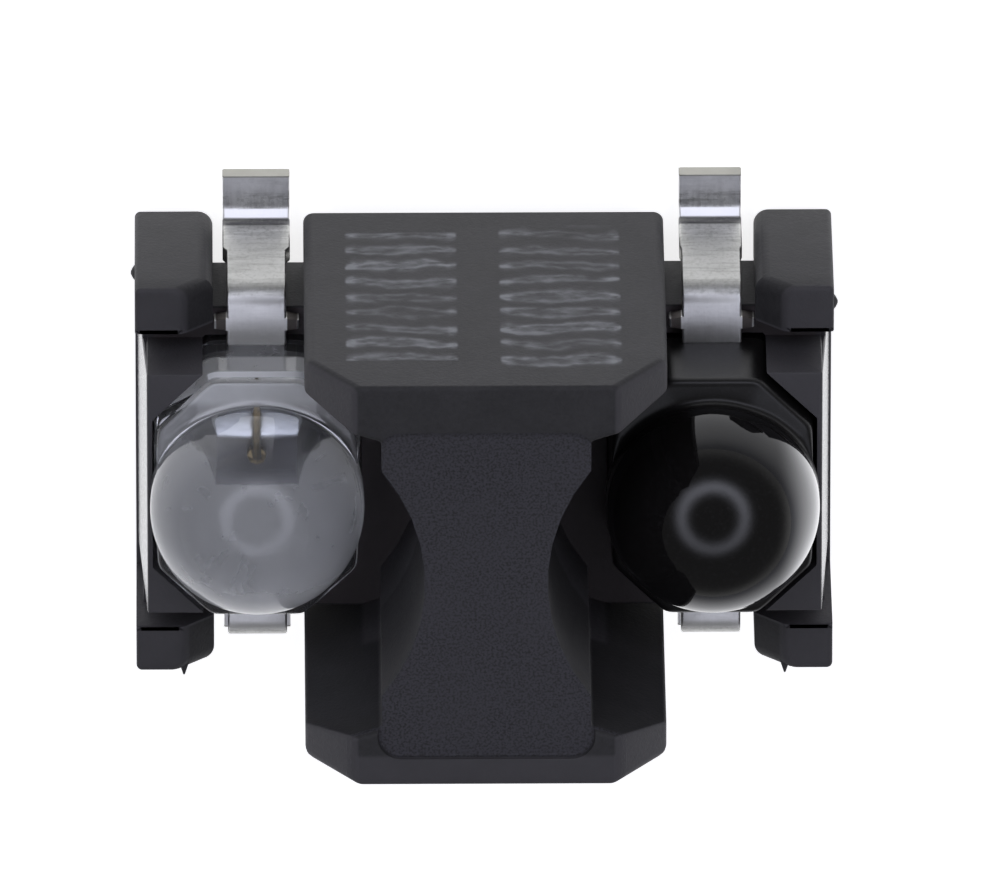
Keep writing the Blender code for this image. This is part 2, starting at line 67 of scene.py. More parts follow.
class Side(Enum):
    """The two ends of the sensor along X."""

    EMITTER = -1
    DETECTOR = 1


class Operation(Enum):
    """What a tool body does to the body it is used on."""

    ADD = "UNION"
    CUT = "DIFFERENCE"


# Outlines and rings


def rounded_outline(corners: np.ndarray, radii: np.ndarray, steps: int) -> np.ndarray:
    """Round every corner of a closed outline.

    Each corner gives way to an arc that touches both of its sides. The arc starts before the
    corner by its radius times the tangent of half the turn, and its centre lies one radius
    to the side the outline turns to.

    Args:
        corners: (n, 2) corner points in order.
        radii: (n,) radius of each arc.
        steps: points on each arc.

    Returns:
        (n * steps, 2) points of the rounded outline.
    """
    before = corners - np.roll(corners, 1, axis=0)
    after = np.roll(corners, -1, axis=0) - corners
    before = before / np.linalg.norm(before, axis=1, keepdims=True)
    after = after / np.linalg.norm(after, axis=1, keepdims=True)
    cross = before[:, 0] * after[:, 1] - before[:, 1] * after[:, 0]
    turn = np.arctan2(cross, np.sum(before * after, axis=1))
    trim = radii * np.tan(np.abs(turn) / 2)
    start = corners - before * trim[:, None]
    inward = np.stack([-before[:, 1], before[:, 0]], axis=1) * np.sign(turn)[:, None]
    centre = start + inward * radii[:, None]
    arm = start - centre
    spin = turn[:, None] * np.linspace(0.0, 1.0, steps)[None, :]
    x = centre[:, :1] + np.cos(spin) * arm[:, :1] - np.sin(spin) * arm[:, 1:]
    y = centre[:, 1:] + np.sin(spin) * arm[:, :1] + np.cos(spin) * arm[:, 1:]
    return np.stack([x, y], axis=-1).reshape(-1, 2)


def drawn_in(outline: np.ndarray, inset: float) -> np.ndarray:
    """Move a counter-clockwise outline inwards by the same distance everywhere.

    Each point moves along the sum of the normals of its two sides, divided by one plus
    their dot product, so that both sides end up the same distance in.

    Args:
        outline: (n, 2) points, counter-clockwise.
        inset: how far to move.

    Returns:
        (n, 2) moved points.
    """
    side = np.roll(outline, -1, axis=0) - outline
    side = side / np.linalg.norm(side, axis=1, keepdims=True)
    normal = np.stack([-side[:, 1], side[:, 0]], axis=1)
    earlier = np.roll(normal, 1, axis=0)
    share = 1.0 + np.sum(normal * earlier, axis=1, keepdims=True)
    return outline + inset * (normal + earlier) / share


def quarter_round(radius: float, steps: int) -> tuple[np.ndarray, np.ndarray]:
    """Drop and inset of a rounded edge, from the wall up to the flat.

    Formula: with an angle from 0 to 90 degrees, the drop below the flat is the radius times
    one minus its sine, and the inset is the radius times one minus its cosine.

    Args:
        radius: radius of the edge.
        steps: how many places to give.

    Returns:
        Drops and insets, (steps,) each.
    """
    angle = np.linspace(0.0, math.pi / 2, steps)
    return radius * (1.0 - np.sin(angle)), radius * (1.0 - np.cos(angle))


def lifted(outline: np.ndarray, height: float) -> np.ndarray:
    """Give every point of a plan outline the same height."""
    return np.column_stack([outline, np.full(len(outline), height)])


def pillow_rings(outline: np.ndarray, low: float, high: float, radius: float,
                 steps: int = 4) -> np.ndarray:
    """Rings of an upright body whose top and bottom edges are rounded.

    Args:
        outline: (n, 2) plan, counter-clockwise.
        low: height of the underside.
        high: height of the top.
        radius: radius of both edges.
        steps: rings on each edge.

    Returns:
        (2 * steps, n, 3) rings from the bottom up.
    """
    drop, inset = quarter_round(radius, steps)
    upper = [lifted(drawn_in(outline, i), high - d) for d, i in zip(drop, inset)]
    lower = [lifted(drawn_in(outline, i), low + d) for d, i in zip(drop, inset)]
    return np.stack(lower[::-1] + upper)


# Meshes


def new_object(name: str, points: np.ndarray, faces: list[list[int]]) -> bpy.types.Object:
    """Put points in millimetres into a mesh in metres, with its faces outwards.

    Args:
        name: name of the object and its mesh.
        points: (n, 3) points.
        faces: point numbers of each face.

    Returns:
        The linked object, smooth shaded.
    """
    mesh = bpy.data.meshes.new(name)
    mesh.from_pydata((points * MM).tolist(), [], faces)
    body = bmesh.new()
    body.from_mesh(mesh)
    bmesh.ops.remove_doubles(body, verts=body.verts, dist=WELD)
    bmesh.ops.recalc_face_normals(body, faces=body.faces)
    body.to_mesh(mesh)
    body.free()
    mesh.polygons.foreach_set("use_smooth", [True] * len(mesh.polygons))
    obj = bpy.data.objects.new(name, mesh)
    bpy.context.scene.collection.objects.link(obj)
    return obj


def closed_loft(name: str, rings: np.ndarray) -> bpy.types.Object:
    """Make a closed body from rings with the same number of points.

    Formula: point (i, j) of the surface is the j-th point of the i-th ring. Quads join each
    ring to the next and a many-sided face closes each end. A ring drawn to one point is welded.

    Args:
        name: name of the object.
        rings: (rings, points, 3) in millimetres.

    Returns:
        The object.
    """
    count, around = rings.shape[:2]
    index = np.arange(count * around).reshape(count, around)
    after = np.roll(index, -1, axis=1)
    quads = np.stack([index[:-1], after[:-1], after[1:], index[1:]], axis=-1).reshape(-1, 4)
    faces = quads.tolist()
    for ring, order in ((0, -1), (-1, 1)):
        if np.ptp(rings[ring], axis=0).max() > 0.0:
            faces.append(index[ring, ::order].tolist())
    return new_object(name, rings.reshape(-1, 3), faces)


def settle(target: bpy.types.Object) -> None:
    """Keep the result of an object's Boolean modifiers as its mesh and drop their tools.

    Args:
        target: the object that carries the modifiers.
    """
    tools = [modifier.object for modifier in target.modifiers]
    graph = bpy.context.evaluated_depsgraph_get()
    rough = target.data
    target.data = bpy.data.meshes.new_from_object(target.evaluated_get(graph))
    target.modifiers.clear()
    bpy.data.meshes.remove(rough)
    target.data.name = target.name
    for tool in tools:
        bpy.data.objects.remove(tool, do_unlink=True)


def combine(target: bpy.types.Object, tool: bpy.types.Object, operation: Operation) -> None:
    """Add an exact Boolean of one body with another.

    Args:
        target: the body that is changed.
        tool: the body it is changed with.
        operation: whether the tool is added or cut out.
    """
    modifier = target.modifiers.new(tool.name, "BOOLEAN")
    modifier.operation = operation.value
    modifier.solver = "EXACT"
    modifier.object = tool


def shade(obj: bpy.types.Object, angle: float = 30.0) -> None:
    """Shade curves smooth, keep real edges sharp and let large flats rule the normals.

    Args:
        obj: the piece.
        angle: degrees between faces from which an edge is sharp.
    """
    mesh = obj.data
    mesh.polygons.foreach_set("use_smooth", [True] * len(mesh.polygons))
    mesh.set_sharp_from_angle(angle=math.radians(angle))
    modifier = obj.modifiers.new("flats_first", "WEIGHTED_NORMAL")
    modifier.keep_sharp = True
    modifier.weight = 100


def adopt(obj: bpy.types.Object, node: str, material: bpy.types.Material) -> None:
    """Let a piece stand for a CAD node, with its finish, under the root body.

    Args:
        obj: the piece.
        node: name of the CAD node it replaces.
        material: the finish.
    """
    obj.data.materials.clear()
    obj.data.materials.append(material)
    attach(obj, "root")
    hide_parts(node)
    LOG.info("piece %s: %d faces, stands for %s", obj.name, len(obj.data.polygons), node)


# Shader maths


class Signal:
    """A socket of a node tree that Python arithmetic works on."""

    def __init__(self, recipe: "Recipe", socket: bpy.types.NodeSocket | None) -> None:
        """Wrap one output socket."""
        self.recipe = recipe
        self.socket = socket

    def other(self, name: str) -> "Signal":
        """Another output of the same node."""
        return Signal(self.recipe, self.socket.node.outputs[name])

    def math(self, operation: str, *values: "Signal | float") -> "Signal":
        """A Math node on this signal and up to two more values."""
        inputs = dict(enumerate((self, *values)))
        return self.recipe.node("ShaderNodeMath", {"operation": operation}, inputs)

    def _reflected(self, operation: str, first: float) -> "Signal":
        """A Math node whose first value is a plain number."""
        return self.recipe.node("ShaderNodeMath", {"operation": operation}, {0: first, 1: self})

    def __add__(self, other: "Signal | float") -> "Signal":
        """Sum."""
        return self.math("ADD", other)

    __radd__ = __add__

    def __sub__(self, other: "Signal | float") -> "Signal":
        """Difference."""
        return self.math("SUBTRACT", other)

    def __rsub__(self, other: float) -> "Signal":
        """Difference from a number."""
        return self._reflected("SUBTRACT", other)

    def __mul__(self, other: "Signal | float") -> "Signal":
        """Product."""
        return self.math("MULTIPLY", other)

    __rmul__ = __mul__

    def __truediv__(self, other: "Signal | float") -> "Signal":
        """Quotient."""
        return self.math("DIVIDE", other)

    def __pow__(self, other: "Signal | float") -> "Signal":
        """Power."""
        return self.math("POWER", other)

    def above(self, edge: float, blur: float = CRISP) -> "Signal":
        """Zero below an edge and one above it, with a smooth step as wide as the blur."""
        inputs = {0: self, 1: edge - blur / 2, 2: edge + blur / 2, 3: 0.0, 4: 1.0}
        return self.recipe.node("ShaderNodeMapRange", {"interpolation_type": "SMOOTHSTEP"}, inputs)

    def below(self, edge: float, blur: float = CRISP) -> "Signal":
        """One below an edge and zero above it, with a smooth step as wide as the blur."""
        return 1.0 - self.above(edge, blur)

    def within(self, low: float, high: float, blur: float = CRISP) -> "Signal":
        """One between two edges and zero outside them, with soft steps."""
        return self.above(low, blur) * self.below(high, blur)

    def size(self) -> "Signal":
        """Distance from zero."""
        return self.math("ABSOLUTE")

    def capped(self) -> "Signal":
        """The value, or one where it is larger."""
        return self.math("MINIMUM", 1.0)

    def bell(self) -> "Signal":
        """A bell that is 1 at zero and falls to 1/e at one: e to the minus square."""
        return (self * self * -1.0).math("EXPONENT")


@dataclass(frozen=True)
class Noise:
    """Settings of a soft noise: features per millimetre, their detail and their roughness.

    A scale of three numbers stretches the noise along the axes.
    """

    scale: float | tuple
    detail: float
    roughness: float


class Recipe:
    """A node tree that is written as expressions."""

    def __init__(self, tree: bpy.types.NodeTree) -> None:
        """Start on an emptied tree."""
        self.tree = tree
        tree.nodes.clear()

    def node(self, kind: str, settings: dict | None = None, inputs: dict | None = None,
             output: int | str = 0) -> Signal:
        """Add a node, set it up and give one of its outputs.

        Args:
            kind: the node's type.
            settings: attributes that are set first, such as a Math node's operation.
            inputs: values or signals by socket name or number.
            output: which output to give.

        Returns:
            The chosen output.
        """
        node = self.tree.nodes.new(kind)
        for name, value in (settings or {}).items():
            setattr(node, name, value)
        for key, value in (inputs or {}).items():
            if isinstance(value, Signal):
                self.tree.links.new(value.socket, node.inputs[key])
            else:
                node.inputs[key].default_value = value
        return Signal(self, node.outputs[output]) if len(node.outputs) else Signal(self, None)

    def place(self) -> Signal:
        """The point's own coordinates in millimetres."""
        here = {0: self.node("ShaderNodeTexCoord", output="Object"), "Scale": 1.0 / MM}
        return self.node("ShaderNodeVectorMath", {"operation": "SCALE"}, here)

    def axes(self, point: Signal) -> tuple[Signal, Signal, Signal]:
        """The three numbers of a point."""
        split = self.node("ShaderNodeSeparateXYZ", inputs={0: point})
        return split, split.other("Y"), split.other("Z")

    def noise(self, point: Signal, look: Noise) -> Signal:
        """Soft noise between 0 and 1.

        Args:
            point: the point's coordinates in millimetres.
            look: the settings.

        Returns:
            The noise at the point.
        """
        scale = look.scale
        if isinstance(scale, tuple):
            point = self.node("ShaderNodeMapping", inputs={"Vector": point, "Scale": scale})
            scale = 1.0
        inputs = {"Vector": point, "Scale": scale, "Detail": look.detail,
                  "Roughness": look.roughness}
        return self.node("ShaderNodeTexNoise", inputs=inputs)

    def blend(self, share: Signal | float, first: Signal | tuple,
              second: Signal | tuple) -> Signal:
        """A colour between two, by share.

        Args:
            share: 0 for the first colour and 1 for the second.
            first: a signal or three numbers.
            second: a signal or three numbers.

        Returns:
            The mixed colour.
        """
        first = first if isinstance(first, Signal) else (*first, 1.0)
        second = second if isinstance(second, Signal) else (*second, 1.0)
        settings = {"data_type": "RGBA", "blend_type": "MIX"}
        return self.node("ShaderNodeMix", settings, {0: share, 6: first, 7: second}, output=2)

    def bump(self, height: Signal, distance: float) -> Signal:
        """A normal raised by a height between 0 and 1, at most by a distance in millimetres."""
        inputs = {"Strength": 1.0, "Distance": distance * MM, "Height": height}
        return self.node("ShaderNodeBump", inputs=inputs)

    def principled(self, inputs: dict) -> Signal:
        """The surface shader."""
        return self.node("ShaderNodeBsdfPrincipled", inputs=inputs)

    def finish(self, surface: Signal) -> None:
        """Connect the surface to the output."""
        kind = "ShaderNodeOutputMaterial"
        self.node(kind, inputs={"Surface": surface})


def material_recipe(name: str) -> tuple[bpy.types.Material, Recipe]:
    """Start a material and its recipe.

    Args:
        name: name of the material.

    Returns:
        The material and the recipe that writes its tree.
    """
    material = bpy.data.materials.new(name)
    material.use_nodes = True
    return material, Recipe(material.node_tree)


# Finishes


@dataclass(frozen=True)
class WallMarks:
    """Two columns of stacked laser strokes that spell nothing, on the marked wall.

    Each column is its low and high X and its bottom and top Z. Heights within a row, such as
    bow, line and fill_height, are shares of the pitch, and places across are shares of the
    column's half width.
    """

    wall_y: float = 1.88
    columns: tuple = ((-1.19, -0.24, 0.72, 3.22), (0.13, 1.16, 0.60, 3.40))
    pitch: float = 0.305
    drift: Noise = Noise((1.4, 0.1, 1.5), 3.0, 0.6)
    drift_rows: float = 1.3
    streak: Noise = Noise((5.0, 1.0, 11.0), 3.0, 0.6)
    streak_level: tuple = (0.45, 0.5)
    bow: float = 0.22
    bow_range: tuple = (0.5, 0.8)
    line: float = 0.105
    line_range: tuple = (0.45, 0.5)
    lean: float = 0.20
    end_place: float = 0.9
    end_size: tuple = (0.1, 0.2)
    end_strength: float = 0.8
    spot_size: tuple = (0.18, 0.16)
    spot_travel: float = 1.2
    spot_strength: float = 0.6
    fill_height: float = 0.3
    fill_blur: float = 0.1
    fill_strength: float = 0.5
    strength: float = 0.75

    def row_strokes(self, recipe: Recipe, across: Signal, part: Signal, lot: Signal) -> Signal:
        """Strokes of one row, before they are broken up.

        Formula: two lines bow apart as the square root of one less the square of the place
        across, with a strong spot at both ends, one more at a drawn place, and a filling.

        Args:
            recipe: the material's recipe; not used.
            across: place across the column, -1 to 1.
            part: height within the row, -0.5 to 0.5.
            lot: a number drawn for each row of each column.

        Returns:
            How strong the strokes are.
        """
        half_round = (1.0 - across * across).math("MAXIMUM", 0.0).math("SQRT")
        lean = across * (lot - 0.5) * self.lean
        least, more = self.bow_range
        reach = half_round * self.bow * (least + lot.other("Color").math("FRACT") * more)
        lines = ((part + lean - reach) / self.line).bell()
        lines = lines + ((part + lean + reach) / self.line).bell()
        least, more = self.line_range
        width, height = self.end_size
        ends = ((across.size() - self.end_place) / width).bell() * (part / height).bell()
        width, height = self.spot_size
        spot = across - lot * self.spot_travel + self.spot_travel / 2
        spots = (spot / width).bell() * (part / height).bell()
        fill = (part / self.fill_height).bell()
        fill = fill * across.within(-self.end_place, self.end_place, self.fill_blur) * lot
        return (lines * (least + lot * more) + ends * self.end_strength
                + spots * self.spot_strength + fill * self.fill_strength)

    def make(self, recipe: Recipe, point: Signal) -> Signal:
        """Both columns, with rows that drift a little along X as hand-set marks do.

        Args:
            recipe: the material's recipe.
            point: the point's coordinates in millimetres.

        Returns:
            How strong the marks are at the point.
        """
        x, y, z = recipe.axes(point)
        row = z / self.pitch + (recipe.noise(point, self.drift) - 0.5) * self.drift_rows
        step = row.math("FLOOR")
        part = row.math("FRACT") - 0.5
        streak = recipe.noise(point, self.streak).above(*self.streak_level)
        strokes = 0.0
        for low, high, bottom, top in self.columns:
            across = (x - (low + high) / 2) / ((high - low) / 2)
            cell = recipe.node("ShaderNodeCombineXYZ", inputs={0: low, 1: step})
            lot = recipe.node("ShaderNodeTexWhiteNoise", {"noise_dimensions": "3D"},
                              {"Vector": cell})
            inside = x.within(low, high, BLUNT) * z.within(bottom, top, SOFT)
            strokes = inside * self.row_strokes(recipe, across, part, lot) + strokes
        return (strokes * streak * self.strength * y.above(self.wall_y, SHARP)).capped()


@dataclass(frozen=True)
class MouldedBlack:
    """Black glass-filled moulding, fine spark-eroded grain, with marks on one wall.

    The tones are those of the clean plastic (dark and pale clouds), of the grainy sunken
    panel, of the painted warm shade low in the wells, of the marks, and a paler tone on the
    post tops and in the wells that is painted light on the chamfered shoulders and the near
    strip. Here and in the other finishes a level is the edge and the width of a soft step, and
    an amount is its least value and what a noise adds.
    """

    dark: tuple = (0.0165, 0.0160, 0.0172)
    pale: tuple = (0.0380, 0.0368, 0.0392)
    panel: tuple = (0.0520, 0.0502, 0.0600)
    deep: tuple = (0.0880, 0.0560, 0.0530)
    mark: tuple = (0.3400, 0.3480, 0.3600)
    paler_tone: tuple = (0.0660, 0.0630, 0.0690)
    gloss: float = 0.42
    roughness: float = 0.60
    polish: float = 0.16
    cloud: Noise = Noise(1.6, 3.0, 0.6)
    grain: Noise = Noise(26.0, 3.0, 0.65)
    speck: Noise = Noise(48.0, 1.0, 0.5)
    pale_level: tuple = (0.5, 0.5)
    speck_level: tuple = (0.46, 0.3)
    paler_amount: tuple = (0.6, 0.6)
    grain_rough: float = 0.25
    panel_rough: float = 0.1
    grain_share: float = 0.7
    speck_share: float = 0.3
    panel_gain: float = 1.5
    guard_calm: float = 0.95
    grain_height: float = 0.006
    panel_z: tuple = (3.66, 3.72)
    panel_end_y: float = 1.5
    guard_x: float = 2.895
    guard_end_y: float = 1.2
    guard_inside: float = 2.85
    wells_end_y: float = 1.42
    wells_level: tuple = (2.0, 0.1)
    ledge_z: float = 1.64
    ledge_x: float = 2.2
    ledge_share: float = 0.7
    shoulder_slant: float = 0.764
    shoulder_sum: tuple = (3.965, 4.08)
    shoulder_end_x: float = 1.6
    strip_end_y: float = -1.62
    strip_blur: float = 0.005
    strip_share: float = 0.8
    deep_level: tuple = (1.15, 0.3)
    deep_share: float = 0.8
    marks: WallMarks = WallMarks()

    def paler_places(self, recipe: Recipe, point: Signal) -> Signal:
        """Where the plastic is paler: post tops and wells, and, as painted light, the chamfered
        shoulders and the near strip.

        Args:
            recipe: the material's recipe.
            point: the point's coordinates in millimetres.

        Returns:
            How much paler the plastic is at the point.
        """
        x, y, z = recipe.axes(point)
        side = x.size()
        between = y.size().below(self.wells_end_y)
        ledge = z.above(self.ledge_z, BLUNT) * (1.0 - between) * side.above(self.ledge_x)
        wells = between * z.below(*self.wells_level)
        # Painted light: the chamfered shoulders are painted paler.
        shoulder = (side + z * self.shoulder_slant).within(*self.shoulder_sum, BLUNT)
        shoulder = shoulder * side.below(self.shoulder_end_x)
        # Painted light: the near strip of the top is painted paler.
        strip = z.above(self.panel_z[1], self.strip_blur) * y.below(self.strip_end_y, SOFT)
        return (ledge * self.ledge_share + wells + shoulder + strip * self.strip_share).capped()

    def shade(self, recipe: Recipe, point: Signal) -> Signal:
        """The warm shade low in the wells, between the guards.

        Args:
            recipe: the material's recipe.
            point: the point's coordinates in millimetres.

        Returns:
            How deep the shade is at the point.
        """
        x, y, z = recipe.axes(point)
        inside = y.size().below(self.wells_end_y) * x.size().below(self.guard_inside)
        return z.below(*self.deep_level) * inside * self.deep_share

    def make(self) -> bpy.types.Material:
        """Build the material.

        Returns:
            The material.
        """
        material, recipe = material_recipe("moulded_black")
        point = recipe.place()
        x, y, z = recipe.axes(point)
        cloud, grain, speck = (recipe.noise(point, look)
                               for look in (self.cloud, self.grain, self.speck))
        on_panel = z.within(*self.panel_z, SHARP) * y.below(self.panel_end_y)
        on_guard = x.size().above(self.guard_x, SHARP) * y.size().below(self.guard_end_y, SOFT)
        mixed = (cloud * 0.5 + grain * 0.5).above(*self.pale_level)
        base = recipe.blend(mixed, self.dark, self.pale)
        base = recipe.blend(on_panel * speck.above(*self.speck_level), base, self.panel)
        least, more = self.paler_amount
        # Paler tone; on the chamfered shoulders and the near strip it is painted light.
        base = recipe.blend(self.paler_places(recipe, point) * (least + cloud * more), base, self.paler_tone)
        # Painted shade: a warm tone low in the wells, where shade falls.
        base = recipe.blend(self.shade(recipe, point), base, self.deep)
        base = recipe.blend(self.marks.make(recipe, point), base, self.mark)
        rough = self.roughness + (grain - 0.5) * self.grain_rough + on_panel * self.panel_rough
        rough = rough - on_guard * (self.roughness - self.polish)
        coarse = speck * self.speck_share * (1.0 + on_panel * self.panel_gain)
        height = (grain * self.grain_share + coarse) * (1.0 - on_guard * self.guard_calm)
        recipe.finish(recipe.principled({
            "Base Color": base, "Roughness": rough, "Specular IOR Level": self.gloss,
            "Normal": recipe.bump(height, self.grain_height)}))
        return material


@dataclass(frozen=True)
class ClearEpoxy:
    """Water-clear moulded epoxy with milky places: the brim, the far edge and the near dome,
    where the milky shader is painted light.

    Each step of the brim's painted light is its Y, the width of its soft edge and how much of
    the milky shader it adds.
    """

    axis_x: float
    tint: tuple = (0.95, 0.96, 0.985)
    milk: tuple = (0.86, 0.88, 0.91)
    roughness: float = 0.03
    milk_roughness: float = 0.30
    index: float = 1.53
    clarity: float = 0.96
    swirl: Noise = Noise((2.0, 2.0, 4.0), 3.0, 0.6)
    ripple: Noise = Noise(2.2, 2.0, 0.5)
    haze: Noise = Noise(9.0, 3.0, 0.6)
    haze_rough: tuple = (0.03, 0.2)
    ripple_height: float = 0.003
    lens_radius: float = 0.92
    lens_level: float = 2.17
    brim_level: float = 2.03
    brim_sheen: tuple = ((0.2, 0.5, 0.28), (0.92, 0.1, 0.25))
    brim_amount: tuple = (0.7, 0.6)
    far_edge: tuple = (1.85, 1.96)
    far_amount: tuple = (0.8, 0.6)
    end_y: float = 1.10
    window_half: float = 0.42
    window_level: tuple = (0.66, 0.34)
    dome_milk: float = 0.17
    swirl_milk: float = 0.08
    near_sheen: float = 0.10
    near_level: tuple = (-0.30, 0.9)

    def milk_and_sheen_share(self, recipe: Recipe, point: Signal) -> Signal:
        """How much of the milky shader is mixed in at each place.

        The dome is faintly milky, clear over the chip, and painted paler on its near side. The
        brim between lens and walls is painted paler towards the far end, and a line along the far
        end's top is a painted highlight.

        Args:
            recipe: the material's recipe.
            point: the point's coordinates in millimetres.

        Returns:
            Share of the milky shader.
        """
        x, y, z = recipe.axes(point)
        off = x - self.axis_x
        reach = (off * off + y * y).math("SQRT")
        swirl = recipe.noise(point, self.swirl)
        window = (off / self.window_half).bell() * y.above(*self.window_level)
        # Painted light: the near side of the dome is paler.
        near = y.below(*self.near_level) * self.near_sheen
        dome = (self.dome_milk + near + (swirl - 0.5) * self.swirl_milk) * (1.0 - window)
        dome = dome * z.above(self.lens_level, SOFT)
        # Painted light: the brim is paler towards the far end.
        least, more = self.brim_amount
        brim = z.within(self.brim_level, self.lens_level)
        brim = brim * reach.above(self.lens_radius) * (least + swirl * more)
        middle, end = (y.above(edge, blur) * milk for edge, blur, milk in self.brim_sheen)
        # Painted highlight: a paler line along the far end's top.
        least, more = self.far_amount
        line = z.within(*self.far_edge, BLUNT) * y.above(self.end_y, SHARP)
        return (dome + brim * (middle + end) + line * (least + swirl * more)).capped()

    def make(self) -> bpy.types.Material:
        """Build the material.

        Returns:
            The material.
        """
        material, recipe = material_recipe("clear_epoxy")
        point = recipe.place()
        haze = recipe.noise(point, self.haze)
        normal = recipe.bump(recipe.noise(point, self.ripple), self.ripple_height)
        fine, coarse = self.haze_rough
        clear = recipe.principled({
            "Base Color": (*self.tint, 1.0), "Roughness": self.roughness + haze * fine,
            "IOR": self.index, "Transmission Weight": self.clarity, "Normal": normal})
        milky = recipe.principled({
            "Base Color": (*self.milk, 1.0), "Roughness": self.milk_roughness + haze * coarse,
            "IOR": self.index, "Normal": normal})
        share = self.milk_and_sheen_share(recipe, point)
        recipe.finish(recipe.node("ShaderNodeMixShader", inputs={0: share, 1: clear, 2: milky}))
        return material


@dataclass(frozen=True)
class FilterEpoxy:
    """Daylight-filter epoxy: black to the eye, glossiest on the outer side of the lens."""

    axis_x: float
    colour: tuple = (0.0065, 0.0060, 0.0060)
    paler_tone: tuple = (0.0110, 0.0104, 0.0106)
    roughness: float = 0.030
    matt: float = 0.30
    index: float = 1.44
    coat_index: float = 1.90
    outer_level: tuple = (0.68, 0.30)
    lens_level: float = 2.17
    haze: Noise = Noise(3.0, 4.0, 0.6)
    haze_rough: float = 0.05
    haze_height: float = 0.0015
    paler_places: Noise = Noise(30.0, 2.0, 0.7)
    dust_level: tuple = (0.6, 0.2)

    def make(self) -> bpy.types.Material:
        """Build the material.

        Returns:
            The material.
        """
        material, recipe = material_recipe("filter_epoxy")
        point = recipe.place()
        x, _, z = recipe.axes(point)
        haze = recipe.noise(point, self.haze)
        paler_places = recipe.noise(point, self.paler_places).above(*self.dust_level)
        on_lens = z.above(self.lens_level)
        clean = (x - self.axis_x).above(*self.outer_level) * on_lens
        rough = self.matt + on_lens * (self.roughness - self.matt)
        recipe.finish(recipe.principled({
            "Base Color": recipe.blend(paler_places, self.colour, self.paler_tone),
            "Roughness": rough + haze * self.haze_rough, "IOR": self.index,
            "Coat Weight": clean, "Coat Roughness": self.roughness, "Coat IOR": self.coat_index,
            "Normal": recipe.bump(haze, self.haze_height)}))
        return material


